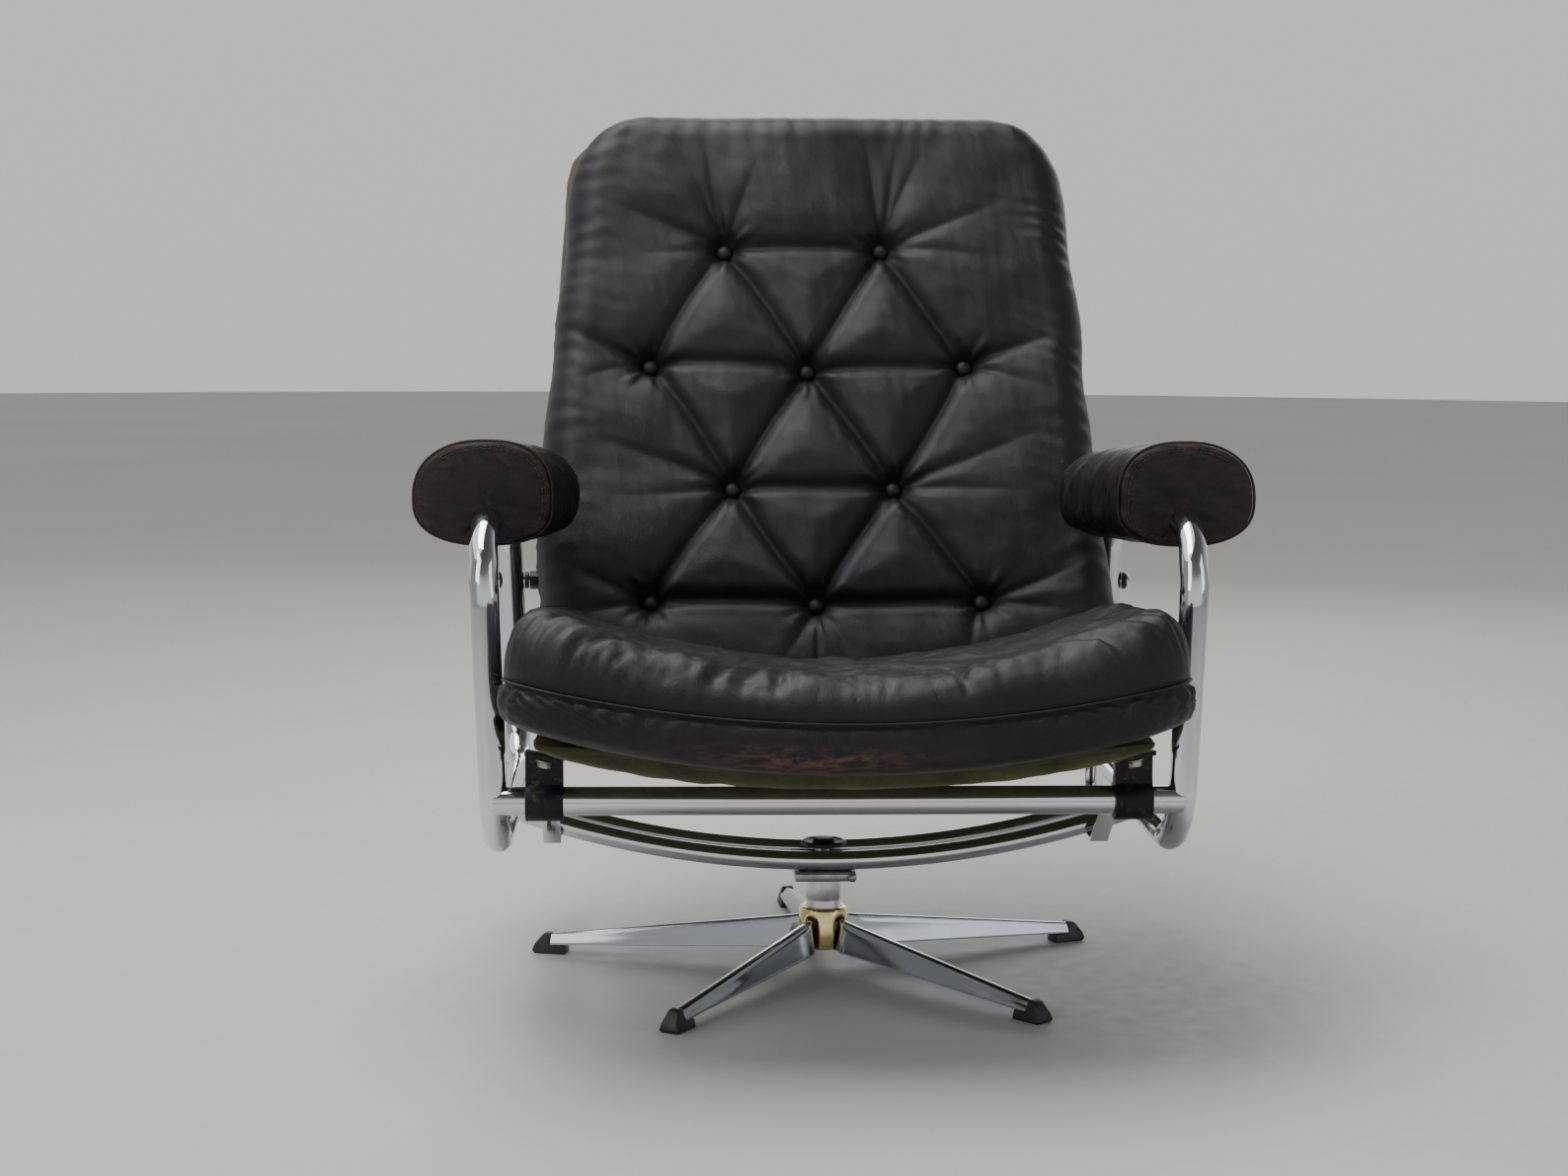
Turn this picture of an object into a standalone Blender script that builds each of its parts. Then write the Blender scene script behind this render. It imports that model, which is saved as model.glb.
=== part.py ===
"""Swivel recliner armchair: tufted leather back and seat in two closed chrome
tube side frames, on a five-star pedestal.  Metres, +Z up, front faces -Y.
COL_Y places the pedestal axis so that the origin is the centre of the footprint."""
import math

import bmesh
import bpy
import numpy as np
from mathutils import Matrix
from mathutils import Vector

# ---- overall ----
COL_Y = -0.0337
GAP = 0.0003              # working gap between touching pieces

# ---- five-star base ----
LEG_COUNT = 5
LEG_FIRST = 22.4          # degrees from +X
BASE_R = 0.305            # outer radius of the feet
LEG_START = 0.0178
LEG_END = 0.2855
LEG_HUB_Z = (0.0220, 0.0545)
LEG_TIP_Z = (0.0092, 0.0200)
FOOT_IN = 0.270
FOOT_TOP = 0.0208
COLUMN_R = 0.0175
COLUMN_BORE = 0.0147
COLUMN_Z = (0.0230, 0.0955)
HUB_R = (0.0181, 0.0250)
HUB_Z = (0.0220, 0.0640)
WINDOW_R = 0.0077         # half width of the arched leg windows in the hub

# ---- swivelling under-frame ----
PLATE_SIZE = (0.062, 0.084, 0.0090)
PLATE_Z = 0.0962
SPINDLE_R = 0.0142
STUD_R = 0.0060
RAIL_R = 0.0097
RAIL_Y = 0.0305
RAIL_Z = 0.1155           # axis height at the middle
RAIL_BOW = 0.95           # radius of the downward bow
ROSETTE_R = 0.0230

# ---- side frames ----
TUBE_R = 0.0135
LOOP_X = 0.3198           # half spacing at LOOP_XZ
LOOP_XZ = 0.198
LOOP_LEAN = 0.0400        # sideways lean of each frame, per metre of height
LOOP_Y = (-0.240, 0.250)
LOOP_Z = (0.1702, 0.4740)
BEND_FRONT_TOP = 0.078
BEND_REST = 0.064
BEND_REAR_TOP = 0.048
ARM_SLOPE = 0.06          # drop of the arm tubes towards the back, per metre
BAR_Z = 0.2161            # front crossbar axis, also the tilt axis
STRAP_X = 0.273
STRAP_W = 0.018
STRAP_T = 0.0035

# ---- arm pads ----
PAD_Y = (-0.163, 0.142)
PAD_Z = (0.4480, 0.5445)
PAD_X = 0.3333
PAD_HALF = 0.0645
PAD_TAPER = 0.007         # extra drop of the pad top at the back

# ---- rear side bolts ----
BOLT_Z = 0.369
BOLT_R = 0.0040
NUT_FLATS = 0.0175
NUT_X = (0.2945, 0.3065)
SLOT_X = 0.2907

# ---- seat ----
SEAT_Z = 0.2425           # underside of the shell at the front, on the centre line
SEAT_DISH = 0.37          # rise of the underside per metre squared from the middle
SEAT_SLOPE = 0.105        # drop per metre towards the back
SEAT_LIP = 0.0066
SHELL_T = 0.0220
SEAT_CROWN = 0.089        # thickness of the seat cushion on the centre line
SEAT_WING = 0.36          # extra thickness per metre squared towards the sides
SEAT_HALF = 0.300
SEAT_Y = (-0.420, 0.064)
SHELL_Y = (-0.330, 0.165)
SHELL_HALF = 0.283
HANGER_X = 0.2736
HANGER_W = 0.035
FLANGE_DROP = (0.0006, 0.0048)    # top and bottom of the hanger flange below the shell

# ---- back ----
BACK_LEAN = 24.7          # degrees from the vertical
BACK_FOOT = (0.140, 0.357)    # y, z of the lowest button row on the face
ROW = 0.1362              # pitch of the button rows along the back
PITCH = 0.173             # pitch of the buttons across the back
BACK_S = (-0.105, 0.5780)     # bottom and top of the cushion along the back
BACK_T = 0.085            # cushion thickness from shell to button level
SHELL_RISE = 0.014        # rise of the back shell above the cushion, along the back
SHELL_BACK_HALF = 0.2882  # half width of the back shell between the slot plates
PUFF = 0.020              # rise of the stuffing above button level
BUTTON_R = 0.0088

# ---- tilt mechanism ----
TILT_RANGE = (-4.0, 2.0)  # degrees, positive reclines

# section of the back shell, as shares of its half width and half depth
SHELL_SECTION = ((-0.975, 1.0), (-0.5, 1.0), (0.0, 1.0), (0.5, 1.0), (0.975, 1.0), (1.0, 0.6),
                 (1.0, -0.5), (0.965, -1.0), (0.5, -1.0), (0.0, -1.0), (-0.5, -1.0),
                 (-0.965, -1.0), (-1.0, -0.5), (-1.0, 0.6))


def clear_scene():
    for obj in list(bpy.data.objects):
        bpy.data.objects.remove(obj, do_unlink=True)


def make_collection(name):
    coll = bpy.data.collections.new(name)
    bpy.context.scene.collection.children.link(coll)
    return coll


def material(name, color, rough, metal=0.0):
    mat = bpy.data.materials.new(name)
    mat.use_nodes = True
    shader = mat.node_tree.nodes["Principled BSDF"]
    shader.inputs["Base Color"].default_value = (color[0], color[1], color[2], 1.0)
    shader.inputs["Roughness"].default_value = rough
    shader.inputs["Metallic"].default_value = metal
    mat.diffuse_color = (color[0], color[1], color[2], 1.0)
    return mat


FINISH = {
    "chrome": ((0.80, 0.81, 0.83), 0.08, 1.0),
    "satin_steel": ((0.55, 0.56, 0.57), 0.35, 1.0),
    "zinc": ((0.62, 0.62, 0.60), 0.40, 1.0),
    "brass": ((0.83, 0.62, 0.25), 0.18, 1.0),
    "black_plastic": ((0.020, 0.020, 0.022), 0.45, 0.0),
    "black_steel": ((0.030, 0.030, 0.032), 0.40, 0.6),
    "leather": ((0.030, 0.024, 0.023), 0.42, 0.0),
    "leather_brown": ((0.055, 0.038, 0.032), 0.45, 0.0),
    "olive_velour": ((0.135, 0.130, 0.055), 0.90, 0.0),
}


def new_object(name, verts, faces, finish, parent, coll):
    """Mesh object from world points, parented to an empty."""
    origin = Vector(parent.location) if parent else Vector((0.0, 0.0, 0.0))
    mesh = bpy.data.meshes.new(name)
    local = [Vector(v) - origin for v in verts]
    mesh.from_pydata(local, [], faces)
    bm = bmesh.new()
    bm.from_mesh(mesh)
    bmesh.ops.remove_doubles(bm, verts=bm.verts, dist=0.000001)
    bmesh.ops.recalc_face_normals(bm, faces=bm.faces)
    bm.to_mesh(mesh)
    bm.free()
    obj = bpy.data.objects.new(name, mesh)
    if finish:
        mesh.materials.append(material(name, *FINISH[finish]))
    obj.parent = parent
    coll.objects.link(obj)
    return obj


def loft(rings, cyclic=False, strip_caps=False):
    """Skin between rings of equal length; ends get a fan, or a strip across a curved slab."""
    count = len(rings[0])
    verts = [tuple(p) for ring in rings for p in ring]
    faces = []
    spans = len(rings) if cyclic else len(rings) - 1
    for i in range(spans):
        a = i * count
        b = ((i + 1) % len(rings)) * count
        for j in range(count):
            k = (j + 1) % count
            faces.append((a + j, a + k, b + k, b + j))
    if strip_caps:
        for start in (0, (len(rings) - 1) * count):
            faces.append((start, start + 1, start + count - 1))
            for j in range(1, count // 2 - 1):
                faces.append((start + j, start + j + 1, start + count - j - 1, start + count - j))
            faces.append((start + count // 2 - 1, start + count // 2, start + count // 2 + 1))
    elif not cyclic:
        for index in (0, len(rings) - 1):
            centre = np.mean(np.array(rings[index], dtype=float), axis=0)
            verts.append(tuple(centre))
            hub = len(verts) - 1
            for j in range(count):
                faces.append((hub, index * count + j, index * count + (j + 1) % count))
    return verts, faces


def sweep(points, radius, sides, cyclic=False):
    """Round bar along a list of points."""
    path = np.array(points, dtype=float)
    total = len(path)
    rings = []
    normal = None
    for i in range(total):
        if cyclic:
            tangent = path[(i + 1) % total] - path[i - 1]
        else:
            tangent = path[min(i + 1, total - 1)] - path[max(i - 1, 0)]
        tangent = tangent / np.linalg.norm(tangent)
        if normal is None:
            seed = np.array((1.0, 0.0, 0.0))
            if abs(tangent[0]) > 0.7:
                seed = np.array((0.0, 0.0, 1.0))
            normal = seed
        normal = normal - tangent * np.dot(normal, tangent)
        normal = normal / np.linalg.norm(normal)
        side = np.cross(tangent, normal)
        ring = []
        for k in range(sides):
            a = 2.0 * math.pi * (k + 0.5) / sides
            ring.append(path[i] + radius * (math.cos(a) * normal + math.sin(a) * side))
        rings.append(ring)
    return loft(rings, cyclic)


def lathe(profile, sides, centre, axis="Z", closed=False, wobble=None):
    """Turn (radius, height) pairs about an axis through centre."""
    rings = []
    for k in range(sides):
        a = 2.0 * math.pi * k / sides
        ring = []
        for r, h in profile:
            rr = r * wobble(a) if wobble else r
            c = rr * math.cos(a)
            s = rr * math.sin(a)
            if axis == "Z":
                p = (centre[0] + c, centre[1] + s, centre[2] + h)
            else:
                p = (centre[0] + h, centre[1] + c, centre[2] + s)
            ring.append(p)
        rings.append(ring)
    count = len(profile)
    verts = [p for ring in rings for p in ring]
    faces = []
    last = count if closed else count - 1
    for k in range(sides):
        n = (k + 1) % sides
        for j in range(last):
            m = (j + 1) % count
            faces.append((k * count + j, k * count + m, n * count + m, n * count + j))
    if not closed:
        for j in (0, count - 1):
            if profile[j][0] > 0.000001:
                faces.append(tuple(k * count + j for k in range(sides)))
    return verts, faces


def prism(outline, x0, x1, taper=None):
    """Extrude a (y, z) outline along X; taper(z) scales the half width about the middle."""
    mid = 0.5 * (x0 + x1)
    half = 0.5 * (x1 - x0)
    rings = []
    for side in (-1.0, 1.0):
        ring = []
        for y, z in outline:
            w = half * (taper(z) if taper else 1.0)
            ring.append((mid + side * w, y, z))
        rings.append(ring)
    count = len(outline)
    verts = [p for ring in rings for p in ring]
    faces = [tuple(range(count)), tuple(range(count, 2 * count))]
    for j in range(count):
        k = (j + 1) % count
        faces.append((j, k, count + k, count + j))
    return verts, faces


def box(x0, x1, y0, y1, z0, z1):
    return prism(((y0, z0), (y1, z0), (y1, z1), (y0, z1)), x0, x1)


def ribbon(points, thickness):
    """Closed (y, z) outline of a flat strip following a centre line."""
    path = np.array(points, dtype=float)
    upper = []
    lower = []
    for i in range(len(path)):
        before = path[i] - path[max(i - 1, 0)]
        after = path[min(i + 1, len(path) - 1)] - path[i]
        units = []
        for step in (before, after):
            size = np.linalg.norm(step)
            if size > 0.0000001:
                units.append(step / size)
        mean = sum(units)
        mean = mean / np.linalg.norm(mean)
        normal = np.array((-mean[1], mean[0]))
        scale = 0.5 * thickness / max(0.3, float(np.dot(mean, units[0])))
        upper.append(path[i] + normal * scale)
        lower.append(path[i] - normal * scale)
    return [tuple(p) for p in upper] + [tuple(p) for p in reversed(lower)]


def turn(verts, angle):
    """Rotate points about +Z, then move them to the pedestal axis."""
    rot = Matrix.Rotation(angle, 4, "Z")
    shift = Vector((0.0, COL_Y, 0.0))
    return [tuple(rot @ Vector(v) + shift) for v in verts]


def cut(obj, cutter):
    mod = obj.modifiers.new("cut", "BOOLEAN")
    mod.operation = "DIFFERENCE"
    mod.solver = "EXACT"
    mod.object = cutter


def bevel(obj, width, segments=2):
    mod = obj.modifiers.new("bevel", "BEVEL")
    mod.width = width
    mod.segments = segments
    mod.limit_method = "ANGLE"
    mod.angle_limit = math.radians(35.0)


def make_cutter(name, piece, coll):
    obj = new_object(name, piece[0], piece[1], None, None, coll)
    obj.hide_render = True
    obj.display_type = "WIRE"
    return obj


def empty(name, location, coll, parent=None):
    obj = bpy.data.objects.new(name, None)
    obj.location = location
    obj.parent = parent
    coll.objects.link(obj)
    return obj


# ---------------------------------------------------------------- base

def leg_piece(angle):
    """Pressed chrome leg: narrow rounded ridge and flaring sides."""
    rings = []
    for r, t in ((LEG_START, 0.0), (0.030, 0.05), (0.060, 0.16), (0.160, 0.53), (LEG_END, 1.0)):
        z0 = LEG_HUB_Z[0] + (LEG_TIP_Z[0] - LEG_HUB_Z[0]) * t
        z1 = LEG_HUB_Z[1] + (LEG_TIP_Z[1] - LEG_HUB_Z[1]) * t
        foot = 0.0068 if r < 0.035 else 0.0115 - 0.0030 * t
        ridge = 0.0034 if r < 0.035 else 0.0050
        ring = []
        for x, z in ((foot, z0), (foot, z0 + 0.0022), (ridge, z1 - 0.0032),
                     (ridge * 0.72, z1 - 0.0009), (0.0, z1), (-ridge * 0.72, z1 - 0.0009),
                     (-ridge, z1 - 0.0032), (-foot, z0 + 0.0022), (-foot, z0)):
            ring.append((r, x, z))
        rings.append(ring)
    verts, faces = loft(rings)
    return turn(verts, angle), faces


def foot_piece(angle):
    """Plastic shoe: sole plate under the leg and an upstanding nose."""
    outline = ((FOOT_IN, 0.0), (BASE_R - 0.003, 0.0), (BASE_R, 0.0030), (BASE_R - 0.002, 0.009),
               (0.2945, 0.0195), (0.2905, FOOT_TOP), (LEG_END + GAP, FOOT_TOP),
               (LEG_END + GAP, LEG_TIP_Z[0] - GAP - 0.0002), (FOOT_IN, LEG_TIP_Z[0] - GAP))
    verts, faces = prism(outline, -0.0105, 0.0105, lambda z: 1.0 - 22.0 * z)
    verts = [(v[1], v[0], v[2]) for v in verts]
    return turn(verts, angle), faces


def window_piece(angle):
    """Arched opening through the hub for one leg."""
    arch = []
    spring = LEG_HUB_Z[1] + 0.0017 - WINDOW_R
    for k in range(9):
        a = math.pi * k / 8.0
        arch.append((WINDOW_R * math.cos(a), spring + WINDOW_R * math.sin(a)))
    outline = [(WINDOW_R, 0.010)] + arch + [(-WINDOW_R, 0.010)]
    verts, faces = prism(outline, 0.012, 0.040)
    return turn(verts, angle), faces


def build_base(body, parts, cutters):
    axis = (0.0, COL_Y, 0.0)
    hub_profile = ((HUB_R[0], HUB_Z[0]), (HUB_R[1] - 0.0008, HUB_Z[0]), (HUB_R[1], HUB_Z[0] + 0.0008),
                   (HUB_R[1], HUB_Z[1] - 0.0030), (HUB_R[1] - 0.0020, HUB_Z[1] - 0.0006),
                   (HUB_R[1] - 0.0034, HUB_Z[1]), (HUB_R[0] + 0.0010, HUB_Z[1] - 0.0004),
                   (HUB_R[0], HUB_Z[1] - 0.0020))
    hub = new_object("hub_cover", *lathe(hub_profile, 40, axis, closed=True), "brass", body, parts)
    for k in range(LEG_COUNT):
        angle = math.radians(LEG_FIRST + 360.0 * k / LEG_COUNT)
        window = make_cutter("cut_window_%d" % (k + 1), window_piece(angle), cutters)
        cut(hub, window)
        new_object("leg_%d" % (k + 1), *leg_piece(angle), "chrome", body, parts)
        new_object("foot_%d" % (k + 1), *foot_piece(angle), "black_plastic", body, parts)
    tube = ((COLUMN_BORE, COLUMN_Z[0]), (COLUMN_R, COLUMN_Z[0]), (COLUMN_R, COLUMN_Z[1] - 0.0008),
            (COLUMN_R - 0.0008, COLUMN_Z[1]), (COLUMN_BORE, COLUMN_Z[1]))
    new_object("column", *lathe(tube, 32, axis, closed=True), "satin_steel", body, parts)


# ---------------------------------------------------------------- frame

def loop_x(z):
    return LOOP_X + LOOP_LEAN * (z - LOOP_XZ)


def arm_drop(y):
    """Fall of the arm tube below its front height; y from the pedestal axis."""
    return ARM_SLOPE * (y - LOOP_Y[0])


def loop_path(side):
    """Centre line of one closed side frame."""
    y0, y1 = LOOP_Y
    z0, z1 = LOOP_Z
    corners = ((y0, z1, BEND_FRONT_TOP, 90.0, 1.0, -1.0), (y0, z0, BEND_REST, 180.0, 1.0, 1.0),
               (y1, z0, BEND_REST, 270.0, -1.0, 1.0), (y1, z1, BEND_REAR_TOP, 0.0, -1.0, -1.0))
    points = []
    for y, z, r, start, sy, sz in corners:
        cy = y + sy * r
        cz = z + sz * r
        for k in range(9):
            a = math.radians(start + 90.0 * k / 8.0)
            py = cy + r * math.cos(a)
            pz = cz + r * math.sin(a)
            pz -= arm_drop(py) * (pz - z0) / (z1 - z0)
            points.append((side * loop_x(pz), py + COL_Y, pz))
    return points


def rail_path(y):
    points = []
    reach = loop_x(LOOP_Z[0])
    for k in range(19):
        x = reach * (k - 9) / 9.0
        z = RAIL_Z + RAIL_BOW - math.sqrt(RAIL_BOW ** 2 - x ** 2)
        points.append((x, y + COL_Y, z))
    return points


def hexagon(centre, x0, x1, flats):
    """Hexagonal nut along X with chamfered corners."""
    r = flats / math.sqrt(3.0)
    rings = []
    for x, scale in ((x0, 0.93), (x0 + 0.0008, 1.0), (x1 - 0.0008, 1.0), (x1, 0.93)):
        ring = []
        for k in range(6):
            a = math.pi * (2 * k + 1) / 6.0
            ring.append((x, centre[1] + scale * r * math.cos(a), centre[2] + scale * r * math.sin(a)))
        rings.append(ring)
    return loft(rings)


def pad_ring(side, y, half, centre, low, high):
    ring = []
    for k in range(28):
        a = 2.0 * math.pi * k / 28.0
        c = math.cos(a)
        s = math.sin(a)
        x = centre + half * math.copysign(abs(c) ** 0.78, c)
        mid = low + 0.44 * (high - low)
        if s >= 0.0:
            z = mid + (high - mid) * abs(s) ** 0.80
        else:
            z = mid - (mid - low) * abs(s) ** 0.62
        ring.append((side * x, y + COL_Y, z))
    return ring


def pad_piece(side):
    rings = []
    y0, y1 = PAD_Y
    low, high = PAD_Z
    mid = 0.5 * (low + high)
    for k in range(15):
        t = k / 14.0
        y = y0 + (y1 - y0) * t
        end = min(t, 1.0 - t)
        round_off = 1.0 - 0.10 * max(0.0, 1.0 - end / 0.07) ** 2
        grow = math.sin(math.pi * min(1.0, t / 0.9) * 0.5)
        half = (PAD_HALF + 0.009 * grow) * round_off
        centre = PAD_X - 0.009 * grow
        drop = ARM_SLOPE * (y - y0)
        top = mid + (high - PAD_TAPER * t - mid) * round_off
        rings.append(pad_ring(side, y, half, centre,
                              mid - (mid - low) * round_off - drop, top - drop))
    return loft(rings)


def build_frame(body, parts, cutters):
    axis = (0.0, COL_Y, 0.0)
    px, py, pz = PLATE_SIZE
    plate = box(-px / 2, px / 2, COL_Y - py / 2, COL_Y + py / 2, PLATE_Z, PLATE_Z + pz)
    plate_obj = new_object("swivel_plate", *plate, "zinc", body, parts)
    bevel(plate_obj, 0.0020)
    spindle = ((0.0, 0.0300), (SPINDLE_R - 0.0010, 0.0300), (SPINDLE_R, 0.0310),
               (SPINDLE_R, PLATE_Z - GAP), (0.0, PLATE_Z - GAP))
    new_object("spindle", *lathe(spindle, 28, axis), "satin_steel", body, parts)
    stud = ((0.0, PLATE_Z + pz + GAP), (STUD_R, PLATE_Z + pz + GAP), (STUD_R, 0.1262), (0.0, 0.1262))
    new_object("spindle_stud", *lathe(stud, 16, axis), "zinc", body, parts)
    bolt_at = (0.0265, COL_Y - py / 2 - GAP, PLATE_Z + 0.0045)
    head = ((0.0, 0.0), (0.0045, 0.0), (0.0045, -0.0018), (0.0030, -0.0036), (0.0, -0.0042))
    verts, faces = lathe(head, 12, (0.0, 0.0, 0.0))
    verts = [(bolt_at[0] + v[0], bolt_at[1] + v[2], bolt_at[2] + v[1]) for v in verts]
    new_object("plate_bolt", verts, faces, "zinc", body, parts)
    top = RAIL_Z + RAIL_R + GAP
    rim = ((0.0118, top + 0.0004), (ROSETTE_R, top + 0.0004), (ROSETTE_R, top + 0.0032),
           (0.0205, top + 0.0052), (0.0180, top + 0.0040), (0.0150, top + 0.0040), (0.0118, top + 0.0030))
    ring = lathe(rim, 32, axis, closed=True, wobble=lambda a: 1.0 + 0.018 * math.cos(8.0 * a))
    new_object("rosette", *ring, "black_plastic", body, parts)
    nut = []
    for z, scale in ((0.1266, 0.95), (0.1274, 1.0), (0.1326, 1.0), (0.1334, 0.93)):
        nut.append([(scale * 0.0104 * math.cos(math.pi * k / 3.0),
                     COL_Y + scale * 0.0104 * math.sin(math.pi * k / 3.0), z) for k in range(6)])
    new_object("spindle_nut", *loft(nut), "black_steel", body, parts)

    bar_y = LOOP_Y[0] + COL_Y
    reach = loop_x(BAR_Z)
    bar = new_object("crossbar", *sweep([(-reach, bar_y, BAR_Z), (reach, bar_y, BAR_Z)], TUBE_R, 28),
                     "chrome", body, parts)
    rails = []
    for name, y in (("rail_front", -RAIL_Y), ("rail_rear", RAIL_Y)):
        rails.append(new_object(name, *sweep(rail_path(y), RAIL_R, 14), "chrome", body, parts))
    for side, tag in ((-1.0, "L"), (1.0, "R")):
        path = loop_path(side)
        loop = new_object("side_frame_" + tag, *sweep(path, TUBE_R, 18, True), "chrome", body, parts)
        shadow = make_cutter("cut_loop_" + tag, sweep(path, TUBE_R + GAP, 18, True), cutters)
        cut(bar, shadow)
        for rail in rails:
            cut(rail, shadow)
        centre = (side * loop_x(BOLT_Z), LOOP_Y[1] + COL_Y, BOLT_Z)
        hole = lathe(((0.0, -0.03), (BOLT_R + GAP, -0.03), (BOLT_R + GAP, 0.03), (0.0, 0.03)),
                     16, centre, axis="X")
        cut(loop, make_cutter("cut_bolt_" + tag, hole, cutters))
        build_side(side, tag, body, parts, cutters)


def build_side(side, tag, body, parts, cutters):
    """Strap, arm pad and rear bolt set of one side."""
    strap = ribbon(((LOOP_Y[0] + 0.0192, 0.2128), (-0.130, 0.2000), (-0.053, 0.1408),
                    (-0.0165, 0.1408), (-0.0152, 0.1430), (-0.0150, 0.2100)), STRAP_T)
    outline = [(y + COL_Y, z) for y, z in strap]
    x0 = side * STRAP_X - STRAP_W / 2
    new_object("strap_" + tag, *prism(outline, x0, x0 + STRAP_W), "chrome", body, parts)

    pad = new_object("arm_pad_" + tag, *pad_piece(side), "leather_brown", body, parts)
    groove_x = side * loop_x(LOOP_Z[1])
    y0 = PAD_Y[0] + COL_Y - 0.03
    y1 = PAD_Y[1] + COL_Y + 0.03
    r = TUBE_R + 0.0006
    outline = []
    for k in range(13):
        a = math.pi * k / 12.0
        outline.append((r * math.cos(a), LOOP_Z[1] + r * math.sin(a)))
    outline = [(r, 0.420)] + outline + [(-r, 0.420)]
    verts, faces = prism(outline, y0, y1)
    verts = [(v[1] + groove_x - side * LOOP_LEAN * arm_drop(v[0] - COL_Y), v[0],
              v[2] - arm_drop(v[0] - COL_Y)) for v in verts]
    cut(pad, make_cutter("cut_groove_" + tag, (verts, faces), cutters))
    bx = side * loop_x(LOOP_Z[1])
    under = LOOP_Z[1] - TUBE_R - arm_drop(PAD_Y[0] + 0.030) - 0.0005
    clip = box(bx - 0.0075, bx + 0.0075, PAD_Y[0] + COL_Y + 0.006, PAD_Y[0] + COL_Y + 0.030,
               under - 0.0058, under)
    new_object("pad_clip_" + tag, *clip, "zinc", body, parts)

    bolt_y = LOOP_Y[1] + COL_Y
    centre = (0.0, bolt_y, BOLT_Z)
    outer = loop_x(BOLT_Z) + TUBE_R
    inner = loop_x(BOLT_Z) - TUBE_R
    edge = outer + 0.0010 + 0.0042
    bolt = ((0.0, SLOT_X - 0.0018), (BOLT_R, SLOT_X - 0.0018), (BOLT_R, edge + GAP), (0.0088, edge + GAP),
            (0.0088, edge + 0.0014), (0.0070, edge + 0.0038), (0.0035, edge + 0.0052),
            (0.0, edge + 0.0056))
    verts, faces = lathe([(r, side * h) for r, h in bolt], 14, centre, axis="X")
    new_object("side_bolt_" + tag, verts, faces, "chrome", body, parts)
    washers = (("washer_out_", outer + 0.0010, edge), ("washer_in_", inner - 0.0056, inner - 0.0010))
    for name, a, b in washers:
        ring = ((BOLT_R + GAP, a), (0.0086, a), (0.0094, a + 0.001), (0.0094, b - 0.001),
                (0.0086, b), (BOLT_R + GAP, b))
        verts, faces = lathe([(r, side * h) for r, h in ring], 14, centre, axis="X", closed=True)
        new_object(name + tag, verts, faces, "black_plastic", body, parts)
    ends = sorted((side * NUT_X[0], side * NUT_X[1]))
    nut_mesh = hexagon(centre, ends[0], ends[1], NUT_FLATS)
    nut = new_object("side_nut_" + tag, *nut_mesh, "black_steel", body, parts)
    bore = ((0.0, 0.27), (BOLT_R + GAP, 0.27), (BOLT_R + GAP, 0.32), (0.0, 0.32))
    verts, faces = lathe([(r, side * h) for r, h in bore], 16, centre, axis="X")
    cut(nut, make_cutter("cut_nut_" + tag, (verts, faces), cutters))


# ---------------------------------------------------------------- seat and back

def shell_z(x, y):
    """Underside of the seat shell, with its front lip curling down in the middle."""
    lip = min(1.0, max(0.0, (-0.265 - y) / 0.065))
    curl = SEAT_LIP * lip * lip * (1.0 - (x / SHELL_HALF) ** 2)
    return SEAT_Z + SEAT_DISH * x * x - SEAT_SLOPE * (y - SHELL_Y[0]) - curl


def slab_rings(y_range, half, z_low, z_high, rows, front_round, rear_round, power):
    """Dished slab: rounded sections in X, closing down towards both ends."""
    rings = []
    y0, y1 = y_range
    for i in range(rows):
        t = 0.5 - 0.5 * math.cos(math.pi * i / (rows - 1.0))
        y = y0 + (y1 - y0) * t
        pinch = 1.0
        if y - y0 < front_round:
            u = 1.0 - (y - y0) / front_round
            pinch = math.sqrt(max(0.0, 1.0 - u * u))
        if y1 - y < rear_round:
            u = 1.0 - (y1 - y) / rear_round
            pinch = min(pinch, math.sqrt(max(0.0, 1.0 - u * u)))
        pinch = max(0.22, pinch)
        inset = (1.0 - pinch) * 0.5 * front_round
        ring = []
        count = 44
        for k in range(count):
            a = 2.0 * math.pi * k / count
            c = math.cos(a)
            s = math.sin(a)
            x = (half(y) - inset) * math.copysign(abs(c) ** power, c)
            low = z_low(x, y)
            high = z_high(x, y)
            mid = 0.5 * (low + high)
            z = mid + 0.5 * (high - low) * pinch * math.copysign(abs(s) ** (power * 1.25), s)
            ring.append((x, y + COL_Y, z))
        rings.append(ring)
    return rings


def seat_half(y):
    nose = max(0.0, (-0.300 - y) / 0.120)
    return SEAT_HALF - 0.022 * nose * nose


def seat_top(x, y):
    crown = SEAT_CROWN - 0.010 * max(0.0, (y + 0.10) / 0.16)
    return shell_z(x, y) + SHELL_T + crown + SEAT_WING * x * x


def back_point(x, s, n):
    """Point on the back: x across, s up the lean, n out of the face."""
    lean = math.radians(BACK_LEAN)
    y = BACK_FOOT[0] + s * math.sin(lean) - n * math.cos(lean)
    z = BACK_FOOT[1] + s * math.cos(lean) + n * math.sin(lean)
    return (x, y + COL_Y, z)


def back_half(s):
    """Half width of the back cushion at height s."""
    if s < 0.30:
        width = 0.304 - 0.016 * max(0.0, s) / 0.30
    else:
        width = 0.288 - 0.012 * (s - 0.30) / 0.18
    top = BACK_S[1]
    if s > top - 0.082:
        u = (s - (top - 0.082)) / 0.082
        width -= 0.082 * (1.0 - math.sqrt(max(0.0, 1.0 - u * u)))
    if s < BACK_S[0] + 0.035:
        u = (BACK_S[0] + 0.035 - s) / 0.035
        width -= 0.030 * (1.0 - math.sqrt(max(0.0, 1.0 - u * u)))
    return width


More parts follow.
